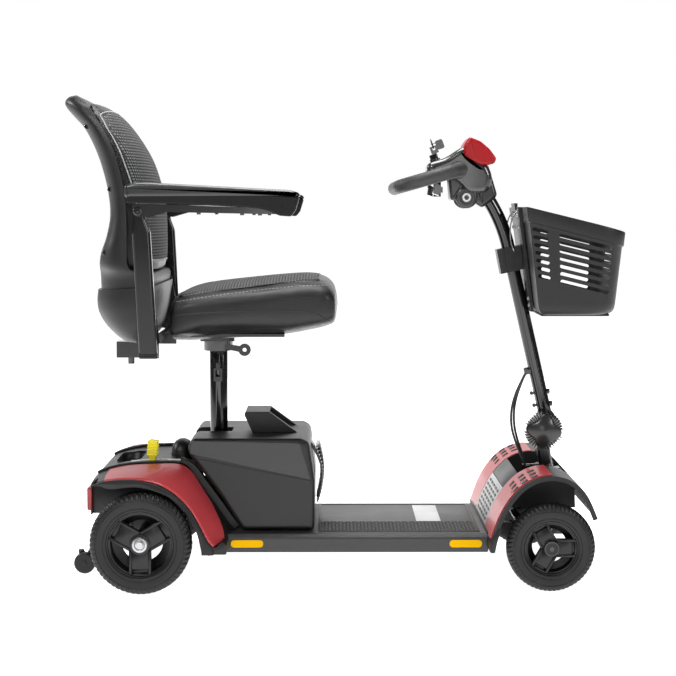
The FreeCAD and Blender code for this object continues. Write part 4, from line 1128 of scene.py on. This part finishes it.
def shroud_shell(recess):
    """The smooth fender form with its wheel arches, handle recess and lever slot cut through."""
    shell = rear_skin("rear_shroud_shell", -FENDER_OUTER, FENDER_OUTER, 0.0, -3.0, steps=96)
    arch = REAR_ARCH + [(-130, 60), (-130, 240)]
    tools = [side_slab(f"arch_{side}", arch, side, 196, 300, 0) for side in (RIGHT, LEFT)]
    tools.append(brick("deck_gap", 90, 230, -180, 180, 40, 109, 0))
    tools.append(brick("rail_gap", 90, 230, -97, 97, 40, 151, 0))
    tools.append(brick("socket_gap", 106, 174, -26, 26, 130, 260, 0))
    tools.append(brick("lever_slot", *LEVER_SLOT))
    tools.append(loft("recess_cut", scaled_rings(recess, (RECESS_X, 0), ((1, 200), (1, 290)))))
    shell = cut(shell, joined("shroud_tools", tools))
    finish(shell, "chassis", "black_plastic", ["rear_shroud"], 40)


def fender_side(side_name, side):
    """One side's red skin, foot, lip, raised rim, well wall and lamp."""
    panel = bevelled(fender_panel(f"rear_fender_panel_{side_name}", side), 0.6, 2, 50)
    finish(as_mesh(panel), "chassis", "red_panel", ["rear_shroud_panels"], 50)
    foot = side_slab(f"rear_fender_foot_{side_name}", rounded(REAR_FOOT, 4, 3), side, 181,
                     FENDER_OUTER - 2, 2.0)
    lip_outline = catmull(REAR_EDGE[2:], 4, False) + catmull(REAR_ARCH[1:], 4, False)[::-1]
    lip = side_slab(f"rear_fender_lip_{side_name}", lip_outline, side, FENDER_OUTER - 6,
                    FENDER_OUTER + 0.8, 2.2)
    pieces = [foot, lip]
    for part, rise, first, last in (("top", 5.5, 2, 8), ("slope", 14.5, 6, 12)):
        strip = rear_skin(f"rear_raised_rim_{part}_{side_name}", side * 119, side * 132, rise, -1.0,
                          first, last, 4)
        pieces.append(bevelled(strip, 2.0, 3, 50))
    pieces.append(side_slab(f"rear_well_wall_{side_name}", WELL_WALL, side, 188, 193, 1.0))
    for piece in pieces:
        finish(piece, "chassis", "black_plastic", crease=50)
    lens = evened(rounded(TAIL_LENS, 4, 4), 2)
    lens = pillow(f"tail_lamp_{side_name}", lens, side * 110, side * 197, 3, 4)
    finish(lens, "chassis", "lamp_red", ["rear_reflectors"], 50)


def rear_shroud():
    """The shroud's shell, handle recess, both fender sides, socket dome, collar and lever plate."""
    recess = capsule_outline((0, -44), (0, 44), 26, 12)
    shroud_shell(recess)
    levels = [(1.03, 237.5), (1.0, 234), (0.97, 226), (0.86, 217), (0.6, 213), (0.3, 212), (0.3, 210),
              (0.6, 211), (0.9, 215), (1.01, 226), (1.05, 235), (1.03, 237.5)]
    bowl = loft("rear_recess_bowl", scaled_rings(recess, (RECESS_X, 0), levels), capped=False)
    finish(bowl, "chassis", "black_plastic", crease=60)
    for side_name, side in SIDES:
        fender_side(side_name, side)
    corners = [super_point(TAU * i / 48, 2.5) for i in range(48)]
    levels = [(1.0, 236), (0.98, 246), (0.93, 256), (0.82, 265), (0.62, 272), (0.35, 276), (0.05, 277.5)]
    dome = scaled_rings([(c * 24, s * 42) for c, s in corners], (DOME_X, 0), levels)
    finish(loft("rear_socket_dome", dome), "chassis", "black_plastic", crease=60)
    finish(lathe("post_socket_collar", COLLAR, (140, 0, 152), 48, "z"), "chassis", "black_plastic")
    plate = cut(rear_skin("lever_plate", -118, -74, 1.4, 0.2, 4, 7, 4), brick("plate_slot", *LEVER_SLOT))
    finish(plate, "chassis", "grey_plastic", crease=40)


# ---------------------------------------------------------------- basket

TUB_TOP, TUB_FOOT, TUB_HALF = 780, 549, 160
RIM_REAR, RIM_FRONT = (779, 773), (990, 715)
# Rings of the tub: height, inward move and, for those that follow the rim, the drop below it
TUB_RINGS = [(549, 14), (550.5, 8), (555, 3), (562, 0.6), (572, 0), (640, 0), (660, 0, 34),
             (660, -0.4, 31), (660, -2.6, 29.5), (660, -2.9, 27), (660, -2.9, 3), (660, -2.2, 0.6),
             (660, -0.6, 0), (660, 1.6, 0.4), (660, 2.4, 2), (660, 2.6, 28), (640, 2.6), (572, 2.8),
             (560, 4.5), (554, 10), (552.5, 16)]
WIRE_REAR = [(771, 762), (762, 752), (756, 730), (757, 700), (764, 676)]
BASKET_SCREW = [(0.4, 0), (4.6, 0), (4.6, -2), (3.6, -3.2), (0.4, -3.4)]
SLOT_STEP = 15.3


def tub_share(z):
    """0 at the tub's top and 1 at its foot."""
    return (TUB_TOP - z) / (TUB_TOP - TUB_FOOT)


def tub_plan(z, pull):
    """The tub's outline at a height, moved in by pull, with tight corners behind and broad in front."""
    share = tub_share(z)
    x0, x1 = 776 + 29 * share + pull, 988 - 22 * share - pull
    half = TUB_HALF - 22 * share - pull
    corners = [Vector(p) for p in ((x0, -half), (x1, -half), (x1, half), (x0, half))]
    flat = []
    for i, corner in enumerate(corners):
        flat += turned_corner(corners[i - 1], corner, corners[(i + 1) % 4],
                              66 - 6 * share if i in (1, 2) else 6, 8)
    return [Vector((q[0], q[1], z)) for q in flat]


def tub_ring(z, pull, drop=None):
    """A level ring, or one that follows the sloping rim at this drop below it."""
    points = tub_plan(z, pull)
    if drop is None:
        return [at(*p) for p in points]
    (x0, z0), (x1, z1) = RIM_REAR, RIM_FRONT
    base = tub_share(z)
    ring = []
    for p in points:
        height = z0 - (p.x - x0) * (z0 - z1) / (x1 - x0) - drop
        share = tub_share(height)
        scale_x = (106 - 25.5 * share - pull) / (106 - 25.5 * base - pull)
        scale_y = (TUB_HALF - 22 * share - pull) / (TUB_HALF - 22 * base - pull)
        x = 882 + 3.5 * share + (p.x - (882 + 3.5 * base)) * scale_x
        ring.append(at(*Vector((x, p.y * scale_y, height))))
    return ring


def basket_slots():
    """Cutters for the sloping slots in the sides and the level ones in front."""
    cutters = []
    for k in range(7):
        for x0, x1 in ((790 + k * 2.3, 815 + k * 1.2), (845 + k * 0.8, 948 - k * 0.8)):
            z0, z1 = (725.5 - SLOT_STEP * k - (x - 788) * 0.245 for x in (x0, x1))
            cutters.append(slab(f"slot_{k}_{x0}", capsule_outline((x0, z0), (x1, z1), 3.7), -200, 200, 0))
    for k in range(7):
        z = 673 - SLOT_STEP * k
        for y0, y1 in ((-88, -10), (10, 88)):
            outline = capsule_outline((y0, z), (y1, z), 3.4)
            near, far = ([at(x, *p) for p in outline] for x in (940, 1010))
            cutters.append(prism(f"front_slot_{k}_{y0}", near, far))
    return cutters


def basket():
    """A tapering tub with rounded slots, a broad sloping rim, a foot, a wire loop and screws."""
    body = loft("basket_tub", [tub_ring(*row) for row in TUB_RINGS])
    body = cut(body, joined("slots", basket_slots()))
    finish(body, "basket", "black_plastic", ["basket"], 40)
    foot = rounded([(812, 545.5), (952, 545.5), (954, 550), (810, 550)], 2)
    finish(pillow("basket_foot", evened(foot, 3), -110, 110, 1.5, 2), "basket", "black_plastic")
    wire_line = beside(WIRE_REAR, -34) + beside(WIRE_REAR[::-1], 34)
    loop = tube("basket_wire_loop", catmull(wire_line, 6, False), 1.4, 8)
    finish(loop, "tiller", "steel", crease=60)
    screws = [lathe(f"basket_screw_{y}_{z}", BASKET_SCREW, (x, y, z), 16, "x") for y in (-48, 48)
              for x, z in ((768.2, 752), (772, 728), (793.8, 580), (796, 566))]
    finish(joined("basket_screws", screws), "tiller", "steel")


def capsule_outline(a, b, r, steps=6):
    """A long outline with round ends about a and b."""
    a, b = Vector(a), Vector(b)
    run = (b - a).normalized()
    side = Vector((-run[1], run[0]))
    found = []
    for centre, start in ((b, -90), (a, 90)):
        for k in range(steps + 1):
            turn = math.radians(start + 180 * k / steps)
            found.append(centre + run * r * math.cos(turn) + side * r * math.sin(turn))
    return found


# ---------------------------------------------------------------- console

HEAD = [(581, 846), (585, 862), (618, 873), (655, 895), (668, 880), (692, 862), (706, 858), (716, 832),
        (706, 802), (668, 800), (640, 824), (602, 832)]
NECK = [(656, 866), (692, 858), (710, 858), (729, 795), (722, 786), (697, 768), (680, 779), (664, 800)]
UNDER = [(626, 834), (630, 784), (642, 785), (664, 800), (664, 832)]
CAP = [(656, 875), (656, 899), (668, 916), (691, 907), (710, 891), (725, 871), (720, 860), (704, 857),
       (690, 858)]
BOSS = [(0.6, 30), (22.6, 30), (22.8, 37), (21, 39.6), (17, 40.6), (13.6, 40.2), (13, 37.4), (0.6, 37.2)]
BOSS_BOLT = [(4.2, 36.5), (9.6, 36.5), (9.8, 40.5), (8.8, 41.8), (5.2, 41.8), (4.4, 40.6)]
BOSS_CENTRE = (663, 0, 790)
GRIP_COLLAR = [(13.9, -6), (17.5, -6), (18.6, -3), (18.6, 3), (17.5, 6), (13.9, 6)]


def console():
    """The head, its socket and underside with a bolted boss each side, the cap and the grip collars."""
    top = pillow("console_head", evened(catmull(HEAD, 5), 3), -46, 46, 13, 7)
    finish(top, "tiller", "silver_shell", ["console_housing"], 45)
    parts = [pillow("console_socket", evened(rounded(NECK, 5, 4), 3), -30, 30, 9, 5),
             pillow("console_under", evened(rounded(UNDER, 4, 4), 3), -34, 34, 5, 4)]
    parts += [side_lathe(f"console_boss_{side}", BOSS, BOSS_CENTRE, side, 48) for side in (RIGHT, LEFT)]
    finish(joined("console_shell", parts), "tiller", "black_plastic_smooth", crease=45)
    bolts = [side_lathe(f"console_bolt_{side}", BOSS_BOLT, BOSS_CENTRE, side, 40) for side in (RIGHT, LEFT)]
    finish(joined("console_bolts", bolts), "tiller", "alu")
    cap = pillow("console_cap_crown", evened(rounded(CAP, 5, 4), 2.5), -48, 48, 6, 6)
    finish(cap, "tiller", "red_gloss", ["console_cap"], 60)
    for side_name, side in SIDES:
        obj = lathe(f"grip_collar_{side_name}", GRIP_COLLAR, (643, side * 52, 846), 40)
        finish(obj, "tiller", "gloss_black")


KNOB_CENTRE, KNOB_TURN = Vector((828, 0, 300)), math.radians(-8)
KNOB_TEETH, TOOTH_INNER, TOOTH_OUTER = 40, 22, 40.4
KNOB_LEVELS = ((0.02, 0), (0.2, 0), (0.4, 0), (0.6, 0), (0.78, 0), (0.9, 0), (0.97, 0.5), (1.0, 2.0),
               (1.0, 4.5), (0.99, 12.0))
KNOB_RING = [(8, -55), (33, -55), (35, -53.5), (35.5, -50), (35.5, -38), (33, -35), (8, -35)]
SHANK = [(0.5, -40), (13.5, -40), (13.5, -27), (0.5, -27)]
NUT = [(0.5, 26.5), (11, 26.5), (11, 33), (9.5, 35), (0.5, 35)]


def star(turn):
    """1 at the knob's points, falling between them."""
    return ((1 + math.cos(4 * (turn - KNOB_TURN))) / 2) ** 1.1


def knob_dome():
    """The four-pointed dome, bulging out most at its middle."""
    rings, steps = [], 240
    for share, drop in KNOB_LEVELS:
        ring = []
        for i in range(steps):
            turn = TAU * i / steps
            reach = share * (26.5 + 11.6 * star(turn))
            y = min(-70.5 + 0.0098 * reach ** 2 + drop, -45)
            ring.append(at(KNOB_CENTRE.x + reach * math.cos(turn), y,
                           KNOB_CENTRE.z + reach * math.sin(turn)))
        rings.append(ring)
    finish(loft("tiller_knob_dome", rings), "clamp_knob", "black_plastic_smooth", ["tiller_knob"], 60)


def knob_teeth():
    """Narrow teeth round the ring, left out under the dome's points."""
    teeth = []
    middle = Vector((KNOB_CENTRE.x, KNOB_CENTRE.z))
    for k in range(KNOB_TEETH):
        turn = TAU * (k + 0.5) / KNOB_TEETH + KNOB_TURN
        if star(turn) > 0.9:
            continue
        run = Vector((math.cos(turn), math.sin(turn)))
        wide = Vector((-run[1], run[0])) * 0.95
        corners = [middle + run * TOOTH_INNER + wide * 1.3, middle + run * TOOTH_OUTER + wide * 0.7,
                   middle + run * TOOTH_OUTER - wide * 0.7, middle + run * TOOTH_INNER - wide * 1.3]
        teeth.append(slab(f"knob_tooth_{k}", corners, -58.5, -35, 0.4, 2))
    finish(joined("tiller_knob_teeth", teeth), "clamp_knob", "black_plastic", crease=25)


def knob():
    """The dome, the toothed ring behind it, and the shank with its nut."""
    knob_dome()
    knob_teeth()
    parts = [lathe("knob_ring", KNOB_RING, KNOB_CENTRE, 96), lathe("knob_shank", SHANK, KNOB_CENTRE, 40),
             lathe("knob_nut", NUT, KNOB_CENTRE, 6)]
    finish(joined("tiller_knob_rim", parts), "clamp_knob", "knob_rim", crease=25)


CABLE_ROUTE = [(797, -5, 423), (779, -9, 392), (764, -12, 350), (762, -12, 309), (772, -11, 272),
               (788, -8, 236), (800, -6, 206)]


def cable():
    """Two lengths side by side, with a clip on the tiller and a gland on the stem."""
    parts = []
    for k, (shift, spread) in enumerate(((-3.0, 0.0), (3.0, 7.0))):
        curve = new_curve(f"cable_{k}", 2.6, 4)
        line = curve.splines.new("NURBS")
        line.points.add(len(CABLE_ROUTE) - 1)
        for place, (point, (x, y, z)) in enumerate(zip(line.points, CABLE_ROUTE)):
            bow = spread * math.sin(math.pi * place / (len(CABLE_ROUTE) - 1))
            point.co = (*at(x + bow, y + shift, z), 1)
        line.order_u = 3
        line.use_endpoint_u = True
        line.resolution_u = 24
        parts.append(as_mesh(bpy.data.objects.new(f"cable_{k}", curve)))
    obj = joined("tiller_cable_pair", parts)
    obj.data.materials.append(MATERIALS["cable"])
    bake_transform(obj)
    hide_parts("tiller_cable")
    clip = slab("cable_clip", rounded([(792, 414), (806, 417), (803, 431), (789, 428)], 3, 3), -11, 2, 1.2)
    finish(clip, "tiller", "gloss_black", crease=40)
    gland = slab("cable_gland", rounded([(788, 223), (821, 223), (822, 213), (790, 213)], 3, 3), -12, 0, 1.2)
    finish(gland, "stem", "gloss_black", crease=40)


def lever_ribs():
    """Ribs down both sides of the freewheel lever's head."""
    parts = []
    for k in range(6):
        z = 256 + 5.6 * k
        parts.append(brick(f"lever_rib_{k}", -3 + k * 0.4, 20 + k * 0.4, -107, -85, z, z + 2.4, 0.6))
    finish(joined("freewheel_lever_ribs", parts), "freewheel", "yellow", crease=40)


# ---------------------------------------------------------------- studio

ROOM_LIGHT = 0.11
LENS, CAMERA_PLACE, CAMERA_DIP, CAMERA_TURN = 84.04, (377.35, -3351.0, 755.5), 4.493, -0.290
LIGHT_AIM = (400, 0, 450)
# Each lamp's name, place, width in metres and power
LIGHTS = (("key", (-900, -2200, 2600), 0.9, 44), ("front", (2300, -1400, 1500), 0.7, 14),
          ("top", (400, 100, 2800), 1.6, 74), ("rear", (-2200, 900, 1800), 0.8, 30),
          ("side", (500, -3000, 900), 0.9, 6), ("backdrop", (400, 3600, 1300), 4.4, 52))
FLOOR_HALF = 20.0


def camera():
    """The photograph's lens and angle."""
    data = bpy.data.cameras.new("camera")
    data.sensor_width = 36.0
    data.lens = LENS
    data.clip_end = 50.0
    obj = new_object("camera", data)
    obj.location = at(*CAMERA_PLACE)
    obj.rotation_euler = (math.radians(90 - CAMERA_DIP), 0, math.radians(CAMERA_TURN))
    bpy.context.scene.camera = obj


def surroundings():
    """A white background that lights the object only a little."""
    world = bpy.data.worlds.new("studio")
    world.use_nodes = True
    tree = world.node_tree
    white = (1, 1, 1, 1)
    seen = tree.nodes["Background"]
    seen.inputs["Color"].default_value = white
    lit = add_node(tree, "Background", {"Color": white, "Strength": ROOM_LIGHT})
    path = add_node(tree, "LightPath")
    either = add_node(tree, "MixShader")
    wire(tree, path, "Is Camera Ray", either, "Fac")
    wire(tree, lit, "Background", either, 1)
    wire(tree, seen, "Background", either, 2)
    wire(tree, either, "Shader", tree.nodes["World Output"], "Surface")
    bpy.context.scene.world = world
    bpy.context.scene.view_settings.view_transform = "Standard"


def lamps():
    """Soft round lamps, all aimed at the object's middle."""
    for name, place, size, power in LIGHTS:
        light = bpy.data.lights.new(name, "AREA")
        light.shape = "DISK"
        light.size = size
        light.energy = power
        lamp = new_object(name, light)
        lamp.location = at(*place)
        lamp.rotation_euler = (at(*LIGHT_AIM) - lamp.location).to_track_quat("-Z", "Y").to_euler()
        lamp.visible_camera = False


def floor():
    """A plain white floor that glows as brightly as the background."""
    corners = [(x * FLOOR_HALF, y * FLOOR_HALF, 0) for x, y in ((-1, -1), (1, -1), (1, 1), (-1, 1))]
    obj = add_mesh("floor", corners, [(0, 1, 2, 3)], False)
    white = bpy.data.materials.new("floor_white")
    white.use_nodes = True
    shader = white.node_tree.nodes["Principled BSDF"]
    for key, value in (("Base Color", (0.9, 0.9, 0.9, 1)), ("Roughness", 0.9),
                       ("Emission Color", (1, 1, 1, 1)), ("Emission Strength", 1.0)):
        shader.inputs[key].default_value = value
    obj.data.materials.append(white)


finish_cad_nodes()
wheels()
seat_cushion()
backrest()
for name_of_side, sign in SIDES:
    armrest(name_of_side, sign)
    armrest_post(name_of_side, sign)
deck_mat()
battery_shell()
battery_details()
rear_shroud()
front_grille()
front_louvres()
basket()
console()
knob()
cable()
lever_ribs()
camera()
surroundings()
lamps()
floor()
